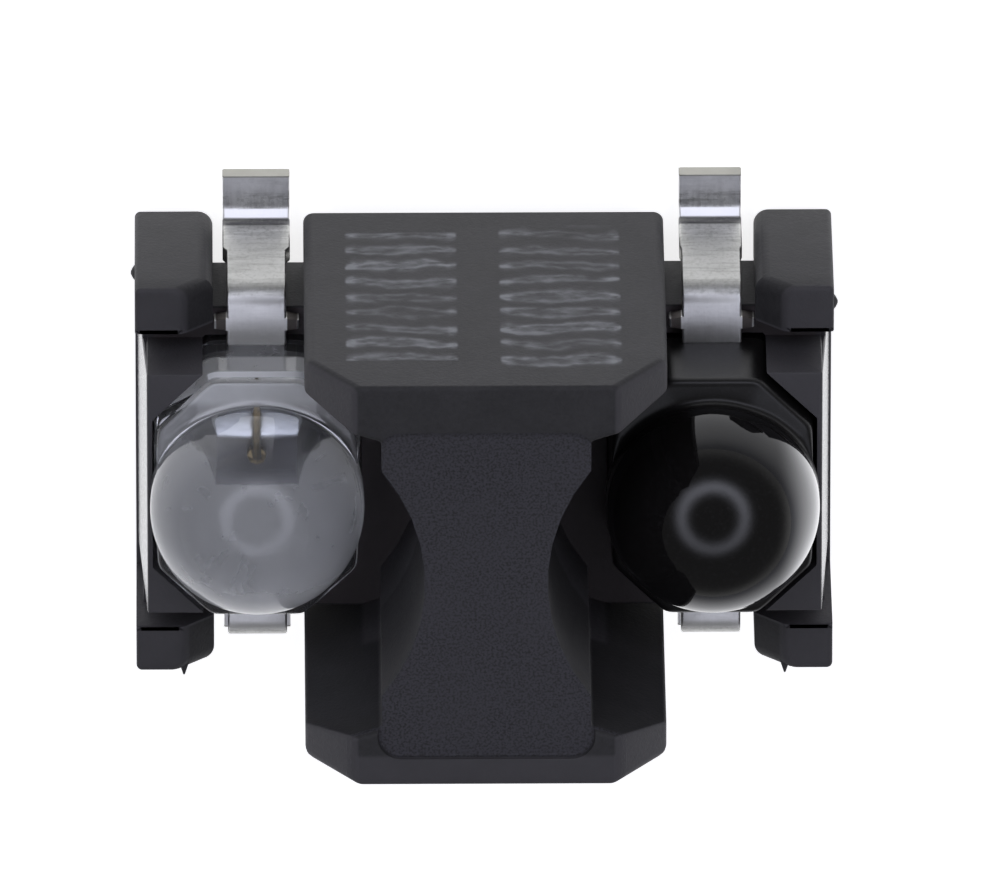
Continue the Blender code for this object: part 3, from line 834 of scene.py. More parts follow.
@dataclass(frozen=True)
class TinPlate:
    """Matte tin over copper alloy, with fine lines across the strip.

    The riser is darkened with painted shade, most in a band up its middle. The run above it
    and the outer foot are paler, painted highlights; the coined flat in the heel is the brightest
    place, a painted highlight on its real facet, and the crease above it the darkest, painted
    shade. The stubs are darkened with painted shade. Inside the epoxy the wide end is bright and
    the neck is darkened with painted shade, and the cut tip shows a warmer tone.
    """

    axis_x: float
    bright: tuple = (0.90, 0.90, 0.90)
    dull: tuple = (0.58, 0.58, 0.585)
    pale: tuple = (0.92, 0.92, 0.93)
    slope: tuple = (0.57, 0.57, 0.55)
    tarnish_and_shade: tuple = (0.30, 0.30, 0.285)
    crease: tuple = (0.16, 0.16, 0.165)
    neck: tuple = (0.12, 0.12, 0.125)
    stub: tuple = (0.10, 0.09, 0.085)
    sheared: tuple = (0.45, 0.445, 0.405)
    roughness: float = 0.42
    inside_roughness: float = 0.30
    coined_roughness: float = 0.38
    shine_roughness: float = 0.60
    mottle: Noise = Noise(4.0, 4.0, 0.6)
    fine: Noise = Noise(30.0, 2.0, 0.6)
    brushed: Noise = Noise((30.0, 3.0, 3.0), 2.0, 0.5)
    rolled: Noise = Noise((1.6, 15.0, 15.0), 3.0, 0.65)
    worn_shares: tuple = (0.75, 0.25)
    worn_level: tuple = (0.48, 0.30)
    rolled_level: tuple = (0.52, 0.12)
    rolled_share: float = 0.45
    fine_level: tuple = (0.56, 0.12)
    fine_share: float = 0.25
    slope_amount: tuple = (0.55, 0.6)
    shine_amount: tuple = (0.45, 0.7)
    mottle_rough: float = 0.25
    fine_rough: float = 0.08
    relief: tuple = (0.6, 0.25, 0.15)
    mottle_height: float = 0.006
    mould_y: float = 1.15
    neck_y: float = 0.90
    stub_y: tuple = (1.2, 1.5)
    stub_off: tuple = (0.262, 0.350)
    stub_blur: float = 0.012
    run_z: float = 1.345
    run_share: float = 0.85
    slope_z: tuple = (0.24, 1.345)
    shade_z: tuple = (0.50, 1.32)
    shade_blur: float = 0.25
    shade_share: float = 0.45
    crease_z: tuple = (0.205, 0.28)
    coined_y: tuple = (1.780, 1.862)
    coined_z: tuple = (0.135, 0.205)
    foot_z: float = 0.156
    shine_level: tuple = (2.00, 0.12)
    tip_y: float = 2.155

    def make(self) -> bpy.types.Material:
        """Build the material.

        Returns:
            The material.
        """
        material, recipe = material_recipe("tin_plate")
        point = recipe.place()
        x, y, z = recipe.axes(point)
        away = y.size()
        off = (x.size() - self.axis_x).size()
        mottle, fine, brushed, rolled = (recipe.noise(point, look) for look in (
            self.mottle, self.fine, self.brushed, self.rolled))
        outside = away.above(self.mould_y)
        inside = 1.0 - outside
        on_slope = outside * z.within(*self.slope_z, BLUNT)
        on_run = outside * z.above(self.run_z)
        on_stub = off.within(*self.stub_off, self.stub_blur) * away.within(*self.stub_y)
        on_foot = outside * z.below(self.foot_z, SHARP)
        shine = on_foot * away.above(*self.shine_level)
        coined = away.within(*self.coined_y, SHARP) * z.within(*self.coined_z, SHARP)
        first, second = self.worn_shares
        worn = (mottle * first + brushed * second).above(*self.worn_level)
        lines = (rolled.above(*self.rolled_level) * self.rolled_share
                 + fine.above(*self.fine_level) * self.fine_share)
        slope_least, slope_more = self.slope_amount
        shine_least, shine_more = self.shine_amount
        shade = z.within(*self.shade_z, self.shade_blur) * self.shade_share
        base = recipe.blend(worn, self.dull, self.bright)
        for share, colour in (
                # painted shade: the riser is darkened, with a grainy texture
                (on_slope * (slope_least + fine * slope_more), self.slope),
                # painted shade: the crease above the heel is darkened
                (outside * z.within(*self.crease_z), self.crease),
                # real rolled and fine lines across the strip
                (outside * lines, self.tarnish_and_shade),
                # painted shade: a darker band up the middle of the riser
                (on_slope * shade, self.tarnish_and_shade),
                # painted highlight: the outer foot is paler
                (shine * (shine_least + mottle * shine_more), self.pale),
                # painted shade: the stubs are darkened
                (on_stub, self.stub),
                (inside, self.pale),
                # painted shade: the neck inside the epoxy is darkened
                (inside * away.above(self.neck_y, SOFT), self.neck),
                (away.above(self.tip_y, SHARP), self.sheared),
                # painted highlight: the run is paler
                (on_run * (1.0 - on_stub) * self.run_share, self.pale),
                # painted highlight: the coined flat is paler, over its real facet
                (coined, self.pale)):
            base = recipe.blend(share, base, colour)
        rough = self.roughness + (mottle - 0.5) * self.mottle_rough
        rough = rough + (fine - 0.5) * self.fine_rough
        rough = rough + shine * (self.shine_roughness - self.roughness)
        rough = rough * (1.0 - coined) + coined * self.coined_roughness
        rough = rough + inside * (self.inside_roughness - self.roughness)
        first, second, third = self.relief
        height = mottle * first + brushed * second + fine * third
        recipe.finish(recipe.principled({
            "Base Color": base, "Metallic": 1.0, "Roughness": rough,
            "Normal": recipe.bump(height * (1.0 - inside), self.mottle_height)}))
        return material


@dataclass(frozen=True)
class SemiconductorFinish:
    """A small inner piece: chip, die-attach layer or bond wire, with a fine grain."""

    name: str
    colour: tuple
    worn: tuple
    metallic: float
    roughness: float
    grain: Noise = Noise(22.0, 3.0, 0.6)
    grain_rough: float = 0.1
    grain_height: float = 0.002
    worn_level: tuple = (0.5, 0.5)

    def make(self) -> bpy.types.Material:
        """Build the material.

        Returns:
            The material.
        """
        material, recipe = material_recipe(self.name)
        grain = recipe.noise(recipe.place(), self.grain)
        recipe.finish(recipe.principled({
            "Base Color": recipe.blend(grain.above(*self.worn_level), self.colour, self.worn),
            "Metallic": self.metallic,
            "Roughness": self.roughness + (grain - 0.5) * self.grain_rough,
            "Normal": recipe.bump(grain, self.grain_height)}))
        return material


@dataclass(frozen=True)
class EmitterChip:
    """The emitter chip: a bright electrode, a dark blue crystal and a solder-grey near edge."""

    crystal: tuple = (0.006, 0.006, 0.020)
    electrode: tuple = (0.89, 0.93, 1.0)
    solder: tuple = (0.42, 0.42, 0.46)
    edge_y: float = -0.025
    near_level: tuple = (-0.215, 0.13)
    roughness: float = 0.16
    grain: Noise = Noise(30.0, 2.0, 0.6)
    grain_rough: float = 0.12
    grain_height: float = 0.001

    def make(self) -> bpy.types.Material:
        """Build the material.

        Returns:
            The material.
        """
        material, recipe = material_recipe("gallium_chip")
        point = recipe.place()
        _, y, _ = recipe.axes(point)
        grain = recipe.noise(point, self.grain)
        far = y.above(self.edge_y)
        near = y.below(*self.near_level)
        base = recipe.blend(far, self.crystal, self.electrode)
        base = recipe.blend(near, base, self.solder)
        recipe.finish(recipe.principled({
            "Base Color": base, "Metallic": (far + near).capped(),
            "Roughness": self.roughness + grain * self.grain_rough,
            "Normal": recipe.bump(grain, self.grain_height)}))
        return material


# Pieces


@dataclass
class Holder:
    """The black moulded holder: centre block, web, guards and posts, less the pockets."""

    axis_x: float
    package_half_width: float = 0.885
    package_half_length: float = 1.15
    top: float = 3.75
    underside: float = 0.33
    half_width: float = 1.55
    half_depth: float = 1.90
    corner_radius: float = 0.09
    tip_thickness: float = 0.32
    root_thickness: float = 0.53
    column_half_width: float = 0.895
    waist: float = 0.53
    scallop_radius: float = 1.76
    chamfer_width: float = 0.42
    chamfer_height: float = 0.55
    shoulder_blend: float = 0.04
    shoulder_ease: tuple = (0.01, 0.03)
    edge_radius: float = 0.04
    small_radius: float = 0.045
    panel_depth: float = 0.06
    panel_far_margin: float = 0.445
    panel_near_margin: float = 0.26
    panel_radius: float = 0.20
    panel_overrun: float = 0.03
    panel_edge: float = 0.02
    tool_flare: float = 0.01
    tool_rise: float = 0.4
    package_fit: float = 0.015
    package_corner: float = 0.46
    pocket_floor: float = 0.445
    pocket_radius: float = 0.03
    pocket_rise: float = 1.0
    web_end_wall: float = 0.27
    web_setback: float = 0.06
    web_top: float = 1.20
    slab_edge: float = 0.012
    guard_wall: float = 0.045
    guard_lean: float = 0.085
    guard_top: float = 1.94
    guard_foot: float = 0.40
    guard_overlap: float = 0.08
    guard_setback: float = 0.01
    guard_corner: float = 0.02
    guard_edge: float = 0.015
    lip_reach: float = 0.015
    lip_setback: float = 0.015
    lip_lift: float = 0.002
    lip_top: float = 0.45
    post_gap: float = 0.375
    post_bottom: float = 0.12
    post_top: float = 1.68
    post_inner_radius: float = 0.13
    post_outer_radius: float = 0.05
    post_hidden_radius: float = 0.002
    post_edge: float = 0.04
    post_foot_edge: float = 0.03
    post_chamfer_width: float = 0.26
    post_chamfer_height: float = 0.24
    post_inner_y: float = 1.40
    post_outer_y: float = 1.83
    gate_places: tuple = (-0.05, 0.0, 0.018, 0.034)
    gate_sizes: tuple = (0.075, 0.068, 0.045, 0.012)
    gate_lobes: float = 0.25
    gate_z: tuple = (0.90, 1.52)
    nib_reach: float = 0.08
    nib_half_width: float = 0.05
    nib_height: float = 0.16
    nib_drop: float = 0.05
    nib_tip: float = 0.008
    nib_edge: float = 0.006
    steps: int = 10

    @property
    def web_half_depth(self) -> float:
        """Half depth of the web along Y."""
        return self.package_half_length + self.package_fit + self.web_end_wall

    @property
    def guard_top_x(self) -> float:
        """Outer X of a guard at its top."""
        return self.axis_x + self.package_half_width + self.package_fit + self.guard_wall

    @property
    def half_length(self) -> float:
        """Half length of the holder along X."""
        return self.guard_top_x + self.guard_lean + self.lip_reach

    def block_outline(self, width: float) -> np.ndarray:
        """Plan of the centre block for one half width: an I with hollowed flanks.

        The hollow is one corner with a very large radius, placed where the two tangents of
        the scallop meet, so that its arc is the scallop itself.

        Args:
            width: half width of the block at its flanges.

        Returns:
            (n, 2) points, counter-clockwise.
        """
        column = self.column_half_width
        share = (width - column) / (self.half_width - column)
        tip = self.half_depth - self.root_thickness
        tip += share * (self.root_thickness - self.tip_thickness)
        root = self.half_depth - self.root_thickness
        centre = self.waist + self.scallop_radius
        reach = centre - column
        shoulder = math.sqrt(self.scallop_radius ** 2 - reach ** 2)
        meeting = centre - self.scallop_radius ** 2 / reach
        half_turn = math.atan2(column - meeting, shoulder)
        side = math.hypot(column - meeting, shoulder)
        spare = 1.3 * self.small_radius * math.tan(half_turn / 2)
        hollow = (side - spare) / math.tan(half_turn)
        right = np.array([(width, -self.half_depth), (width, -tip), (column, -root),
                          (column, -shoulder), (meeting, 0.0), (column, shoulder),
                          (column, root), (width, tip), (width, self.half_depth)])
        small = self.small_radius
        radii = np.array([self.corner_radius, small, small, small, hollow, small, small, small,
                          self.corner_radius])
        corners = np.vstack([right, -right])
        return rounded_outline(corners, np.concatenate([radii, radii]), self.steps)

    def block(self) -> bpy.types.Object:
        """The centre block, chamfered at its shoulders and rounded round its top.

        Formula: the half width shrinks with the height above the shoulder, and a small bell
        added to that height eases the edge where the chamfer starts.

        Returns:
            The block.
        """
        shoulder = self.top - self.chamfer_height
        drop, inset = quarter_round(self.edge_radius, 5)
        bend = np.linspace(-1.0, 1.0, 5) * self.shoulder_blend
        heights = np.concatenate([[self.underside, shoulder - 1.5 * self.shoulder_blend],
                                  shoulder + bend, self.top - drop])
        rise = heights - shoulder
        ease, spread = self.shoulder_ease
        lean = np.maximum(rise, 0.0) + ease * np.exp(-(rise / spread) ** 2)
        widths = self.half_width - lean * self.chamfer_width / self.chamfer_height
        insets = np.concatenate([np.zeros(len(heights) - len(inset)), inset])
        rings = [lifted(drawn_in(self.block_outline(w), i), z)
                 for w, i, z in zip(widths, insets, heights)]
        return closed_loft("holder_moulding", np.stack(rings))

    def slab(self, name: str, half_x: float, half_y: float, low: float, high: float,
             radius: float) -> bpy.types.Object:
        """A block about the middle with all its edges rounded.

        Args:
            name: name of the object.
            half_x: half its length.
            half_y: half its depth.
            low: height of its underside.
            high: height of its top.
            radius: radius of its edges.

        Returns:
            The block.
        """
        corners = np.array([(half_x, -half_y), (half_x, half_y), (-half_x, half_y),
                            (-half_x, -half_y)])
        outline = rounded_outline(corners, np.full(4, 2 * radius), self.steps)
        return closed_loft(name, pillow_rings(outline, low, high, radius))

    def guard(self, side: Side) -> bpy.types.Object:
        """The wall beside a package, drafted on its outer face.

        Args:
            side: the end of the sensor it stands at.

        Returns:
            The wall.
        """
        inner = self.axis_x + self.package_half_width - self.package_corner - self.guard_overlap
        foot_x = self.half_length - self.lip_reach
        corners = np.array([(inner, self.guard_foot), (foot_x, self.guard_foot),
                            (self.guard_top_x, self.guard_top), (inner, self.guard_top)])
        outline = rounded_outline(corners, np.full(4, self.guard_corner), 4)
        reach = self.package_half_length - self.guard_setback
        rings = pillow_rings(outline, -reach, reach, self.guard_edge)
        turned = np.stack([side.value * rings[..., 0], rings[..., 2], rings[..., 1]], axis=-1)
        return closed_loft("guard_tool", turned)

    def post(self, side: Side, end: int) -> bpy.types.Object:
        """A corner post, its inner top edge chamfered and its other top edges rounded.

        Args:
            side: the end of the sensor it stands at.
            end: 1 for the far post and -1 for the near one.

        Returns:
            The post.
        """
        inner = self.axis_x + self.post_gap
        chamfer = self.post_top - self.post_chamfer_height
        drop, inset = quarter_round(self.post_edge, 5)
        low_drop, low_inset = quarter_round(self.post_foot_edge, 4)
        heights = np.concatenate([self.post_bottom + low_drop[::-1], [chamfer],
                                  self.post_top - drop])
        insets = np.concatenate([low_inset[::-1], [0.0], inset])
        lean = np.maximum(heights - chamfer, 0.0)
        lean = lean * self.post_chamfer_width / self.post_chamfer_height
        radii = np.array([self.post_hidden_radius, self.post_outer_radius,
                          self.post_inner_radius, self.post_hidden_radius])
        rings = []
        for height, inset_here, shift in zip(heights, insets, lean):
            corners = np.array([(self.half_length, self.post_inner_y),
                                (self.half_length, self.post_outer_y),
                                (inner + shift, self.post_outer_y),
                                (inner + shift, self.post_inner_y)])
            outline = rounded_outline(corners, radii, self.steps)
            rings.append(lifted(drawn_in(outline, inset_here), height))
        return closed_loft("post_tool", np.stack(rings) * np.array([side.value, end, 1.0]))

    def pocket(self, side: Side) -> bpy.types.Object:
        """The recess a package stands in, as a tool.

        Args:
            side: the end of the sensor it is at.

        Returns:
            The tool body.
        """
        half_x = self.package_half_width + self.package_fit
        half_y = self.package_half_length + self.package_fit
        cut = self.package_corner
        right = np.array([(half_x, cut - half_y), (half_x, half_y - cut),
                          (half_x - cut, half_y), (cut - half_x, half_y)])
        outline = rounded_outline(np.vstack([right, -right]), np.full(8, self.pocket_radius), 4)
        outline[:, 0] += side.value * self.axis_x
        rings = np.stack([lifted(outline, self.pocket_floor),
                          lifted(outline, self.top + self.pocket_rise)])
        return closed_loft("pocket_tool", rings)

    def panel(self) -> bpy.types.Object:
        """The sunken panel on top of the column, as a tool with a rounded floor edge.

        Returns:
            The tool body.
        """
        half = self.column_half_width + self.panel_overrun
        far = self.half_depth - self.panel_far_margin
        near = self.panel_near_margin - self.half_depth
        corners = np.array([(half, near), (half, far), (-half, far), (-half, near)])
        outline = rounded_outline(corners, np.full(4, self.panel_radius), self.steps)
        floor = self.top - self.panel_depth
        drop, inset = quarter_round(self.panel_edge, 4)
        rings = [lifted(drawn_in(outline, i), floor + d) for d, i in zip(drop[::-1], inset[::-1])]
        flared = drawn_in(outline, -self.tool_flare)
        rings += [lifted(flared, self.top + rise) for rise in (self.tool_flare, self.tool_rise)]
        return closed_loft("panel_tool", np.stack(rings))

    def gate(self, side: Side, height: float) -> bpy.types.Object:
        """The stump where the plastic entered the mould, a small rough cone.

        Formula: rings of falling size round one height on a far post, whose upper and lower
        parts swell and shrink with the cosine of three times the angle.

        Args:
            side: the end of the sensor it is at.
            height: height of its middle.

        Returns:
            The stump.
        """
        y = (self.post_inner_y + self.post_outer_y) / 2
        angle = np.linspace(0.0, 2 * math.pi, 14, endpoint=False)
        reach = np.array(self.gate_places)
        size = np.array(self.gate_sizes)[:, None]
        ring_y = y + size * np.cos(angle)
        ring_z = height + size * np.sin(angle) * (1.0 + self.gate_lobes * np.cos(3 * angle))
        ring_x = np.broadcast_to((self.half_length + reach)[:, None], ring_y.shape)
        return closed_loft("gate_tool", np.stack([side.value * ring_x, ring_y, ring_z], axis=-1))

    def nib(self, side: Side) -> bpy.types.Object:
        """A thin pointed flash at the near end of a post.

        Args:
            side: the end of the sensor it is at.

        Returns:
            The flash.
        """
        centre = self.axis_x + self.post_gap + self.post_chamfer_width
        root = self.nib_reach - self.post_outer_y
        corners = np.array([(centre - self.nib_half_width, root),
                            (centre, -self.post_outer_y - self.nib_reach),
                            (centre + self.nib_half_width, root)])
        outline = rounded_outline(corners, np.full(3, self.nib_tip), 3)
        top = self.post_top - self.nib_drop
        rings = pillow_rings(outline, top - self.nib_height, top, self.nib_edge, 2)
        return closed_loft("nib_tool", rings * np.array([side.value, 1.0, 1.0]))

    def build(self) -> bpy.types.Object:
        """Join and cut the moulding.

        Returns:
            The moulding.
        """
        body = self.block()
        added = [self.slab("web_tool", self.half_length - self.web_setback, self.web_half_depth,
                           self.underside, self.web_top, self.slab_edge),
                 self.slab("lip_tool", self.half_length, self.web_half_depth - self.lip_setback,
                           self.underside + self.lip_lift, self.lip_top, self.slab_edge)]
        for side in Side:
            added += [self.guard(side), self.nib(side)]
            added += [self.post(side, end) for end in (-1, 1)]
        added += [self.gate(side, height) for side, height in zip(Side, self.gate_z)]
        for tool in added:
            combine(body, tool, Operation.ADD)
        for tool in (self.pocket(Side.EMITTER), self.pocket(Side.DETECTOR), self.panel()):
            combine(body, tool, Operation.CUT)
        settle(body)
        shade(body)
        return body


@dataclass
class LensPackage:
    """A moulded package with its dome lens, one closed skin."""

    name: str
    axis_x: float
    half_width: float = 0.885
    half_length: float = 1.15
    corner: float = 0.46
    draft: float = 0.025
    bottom: float = 0.45
    parting: float = 1.295
    shoulder: float = 2.05
    shoulder_slope: float = 0.158
    root: float = 1.96
    dome_radius: float = 0.92
    dome_centre: float = 2.20
    edge_radius: float = 0.07
    least_edge: float = 0.001
    bottom_edge: float = 0.03
    ridge_reach: float = 0.006
    ridge_half: float = 0.012
    softness: float = 55.0
    around: int = 256
    dome_rings: int = 56

    def wall(self, azimuth: np.ndarray, draft: float) -> np.ndarray:
        """Distance of the wall from the axis at each azimuth.

        Formula: a flat wall at distance d is met at d over the cosine of the angle to its
        normal, and the nearest of the eight walls counts. The largest of the inverse
        distances is taken as a high power mean, which rounds the eight corners a little.

        Args:
            azimuth: angles about the axis.
            draft: how far the walls have drawn in.

        Returns:
            Distances in millimetres.
        """
        cos = np.abs(np.cos(azimuth))
        sin = np.abs(np.sin(azimuth))
        cut = self.half_width + self.half_length - self.corner - 2.0 * draft
        inverse = np.stack([cos / (self.half_width - draft), sin / (self.half_length - draft),
                            (cos + sin) / cut])
        return np.sum(inverse ** self.softness, axis=0) ** (-1.0 / self.softness)

    def rings(self) -> np.ndarray:
        """The skin as rings from the underside to the pole.

        Every ring is a distance from the axis at each azimuth: up the drafted wall, round
        the shoulder edge, up the gentle slope (or out) to the barrel of the lens, and over
        the dome, where distance and height are the radius times the cosine and sine of one
        angle.

        Returns:
            (rings, around, 3) points.
        """
        azimuth = np.linspace(0.0, 2 * math.pi, self.around, endpoint=False)
        low = self.wall(azimuth, self.draft)
        wide = self.wall(azimuth, 0.0)
        turn = np.linspace(0.0, math.pi / 2, 6)[:, None]
        flat = np.full(self.around, 1.0)
        bottom_r = low - self.bottom_edge * (1.0 - np.sin(turn))
        bottom_z = (self.bottom + self.bottom_edge * (1.0 - np.cos(turn))) * flat
        ridge_r = np.stack([wide, wide + self.ridge_reach, wide])
        ridge_z = (self.parting + np.linspace(-1.0, 1.0, 3) * self.ridge_half)[:, None] * flat
        gap = low - self.dome_radius
        edge = np.clip(np.abs(gap) / 2, self.least_edge, self.edge_radius)
        way = np.sign(gap)
        level = np.where(gap > 0.0, self.shoulder, self.root)
        brim_r = low - way * edge * (1.0 - np.cos(turn))
        brim_z = level - edge * (1.0 - np.sin(turn))
        foot_r = self.dome_radius + way * edge * (1.0 - np.sin(turn))
        foot_level = level + self.shoulder_slope * np.maximum(gap - 2.0 * edge, 0.0)
        foot_z = foot_level + edge * (1.0 - np.cos(turn))
        lift = np.linspace(0.0, math.pi / 2, self.dome_rings)[:, None]
        dome_r = self.dome_radius * np.cos(lift) * flat
        dome_r[-1] = 0.0
        dome_z = (self.dome_centre + self.dome_radius * np.sin(lift)) * flat
        radius = np.vstack([bottom_r, ridge_r, brim_r, foot_r, dome_r])
        height = np.vstack([bottom_z, ridge_z, brim_z, foot_z, dome_z])
        x = self.axis_x + radius * np.cos(azimuth)
        return np.stack([x, radius * np.sin(azimuth), height], axis=-1)

    def build(self) -> bpy.types.Object:
        """Make the skin.

        Returns:
            The skin.
        """
        skin = closed_loft(self.name, self.rings())
        shade(skin, 40.0)
        return skin


@dataclass
class GullWingLead:
    """A stamped strip, wide inside the package, bent down to the board and out again."""

    name: str
    axis_x: float
    end: int
    inner_y: float
    foot_width: float
    thickness: float = 0.15
    top: float = 1.37
    run_width: float = 0.51
    paddle_width: float = 0.98
    knee_radius: float = 0.13
    heel_radius: float = 0.155
    coined_angle: float = 36.0
    coined_length: float = 0.070
    knee_y: float = 1.62
    heel_y: float = 1.70
    tip_y: float = 2.166
    neck_y: float = 1.03
    ramp: float = 0.06
    stub_y: float = 1.34
    stub_length: float = 0.08
    stub_reach: float = 0.11
    stub_ramp: float = 0.02
    widening_z: float = 0.70
    edge_radius: float = 0.022
    corner_steps: int = 5
    bend_steps: tuple = (15, 13, 10)
    samples: int = 6001

    def middle_line(self) -> tuple[np.ndarray, np.ndarray, np.ndarray, np.ndarray]:
        """Middle line of the strip, worked out from its direction.

        Formula: the direction is level, turns down evenly through the knee, stays, and turns
        back evenly through the heel, where it pauses on a short coined flat. The line is the
        running sum of the direction.

        Returns:
            Distances along the strip, Y, Z and direction at each.
        """
        run_z = self.top - self.thickness / 2
        foot_z = self.thickness / 2
        fall = math.atan2(run_z - foot_z, self.heel_y - self.knee_y)
        flat = math.radians(self.coined_angle)
        first = self.knee_y - self.knee_radius * math.tan(fall / 2) - self.inner_y
        bends_drop = (self.knee_radius + self.heel_radius) * (1.0 - math.cos(fall))
        bends_drop += self.coined_length * math.sin(flat)
        slant = (run_z - foot_z - bends_drop) / math.sin(fall)
        foot_y = self.inner_y + first + slant * math.cos(fall)
        foot_y += (self.knee_radius + self.heel_radius) * math.sin(fall)
        foot_y += self.coined_length * math.cos(flat)
        parts = [first, self.knee_radius * fall, slant, self.heel_radius * (fall - flat),
                 self.coined_length, self.heel_radius * flat, self.tip_y - foot_y]
        places = np.cumsum(parts)
        whole = float(places[-1])
        fine = np.linspace(0.0, whole, self.samples)
        turn = np.interp(fine, places[:-1], [0.0, -fall, -fall, -flat, -flat, 0.0])
        middle = (turn[1:] + turn[:-1]) / 2
        pace = fine[1] - fine[0]
        y = self.inner_y + pace * np.concatenate([[0.0], np.cumsum(np.cos(middle))])
        z = run_z + pace * np.concatenate([[0.0], np.cumsum(np.sin(middle))])
        bends = [np.linspace(places[2 * i], places[2 * i + 1], steps)
                 for i, steps in enumerate(self.bend_steps)]
        changes, _ = self.width_stations(fine, y, z)
        along = np.unique(np.round(np.concatenate([changes, *bends, [0.0, whole]]), 5))
        y, z, turn = (np.interp(along, fine, values) for values in (y, z, turn))
        return along, y, z, turn

    def width_stations(self, fine: np.ndarray, y: np.ndarray,
                       z: np.ndarray) -> tuple[np.ndarray, np.ndarray]:
        """Where the width changes along the strip, and to what.

        Args:
            fine: distances along the strip.
            y: Y at each; not used.
            z: Z at each.

        Returns:
            Distances and widths.
        """
        low = self.stub_y - self.stub_length / 2
        high = self.stub_y + self.stub_length / 2
        run = self.run_width
        stub = run + 2 * self.stub_reach
        level_y = [self.inner_y, self.neck_y - self.ramp, self.neck_y, low - self.stub_ramp,
                   low, high, high + self.stub_ramp]
        heights = np.array([self.widening_z, self.widening_z - self.ramp])
        widths = [self.paddle_width, self.paddle_width, run, run, stub, stub, run,
                  run, self.foot_width]
        lengths = [np.array(level_y) - self.inner_y, np.interp(-heights, -z, fine)]
        return np.concatenate(lengths), np.array(widths)

    def rings(self) -> np.ndarray:
        """Cross-sections along the strip: a rectangle with rounded corners.

        Formula: a section point is the corner's sign times half the size less the edge
        radius, plus the radius times the cosine or sine of its angle, across and through
        the strip, and it is carried along the middle line.

        Returns:
            (stations, points, 3) points.
        """
        along, y, z, turn = self.middle_line()
        fine = np.linspace(along[0], along[-1], 2001)
        changes, widths = self.width_stations(fine, np.interp(fine, along, y),
                                              np.interp(fine, along, z))
        width = np.interp(along, changes, widths)
        corner = np.repeat(np.arange(4), self.corner_steps)
        angle = (corner + np.tile(np.linspace(0.0, 1.0, self.corner_steps), 4)) * math.pi / 2
        across = np.sign(np.cos(corner * math.pi / 2 + math.pi / 4))
        through = np.sign(np.sin(corner * math.pi / 2 + math.pi / 4))
        edge = self.edge_radius
        x = across * (width[:, None] / 2 - edge) + edge * np.cos(angle)
        rise = through * (self.thickness / 2 - edge) + edge * np.sin(angle)
        ring_y = y[:, None] - rise * np.sin(turn)[:, None]
        ring_z = z[:, None] + rise * np.cos(turn)[:, None]
        return np.stack([self.axis_x + self.end * x, self.end * ring_y, ring_z], axis=-1)

    def build(self) -> bpy.types.Object:
        """Make the strip.

        Returns:
            The strip.
        """
        strip = closed_loft(self.name, self.rings())
        shade(strip, 35.0)
        return strip


# Studio


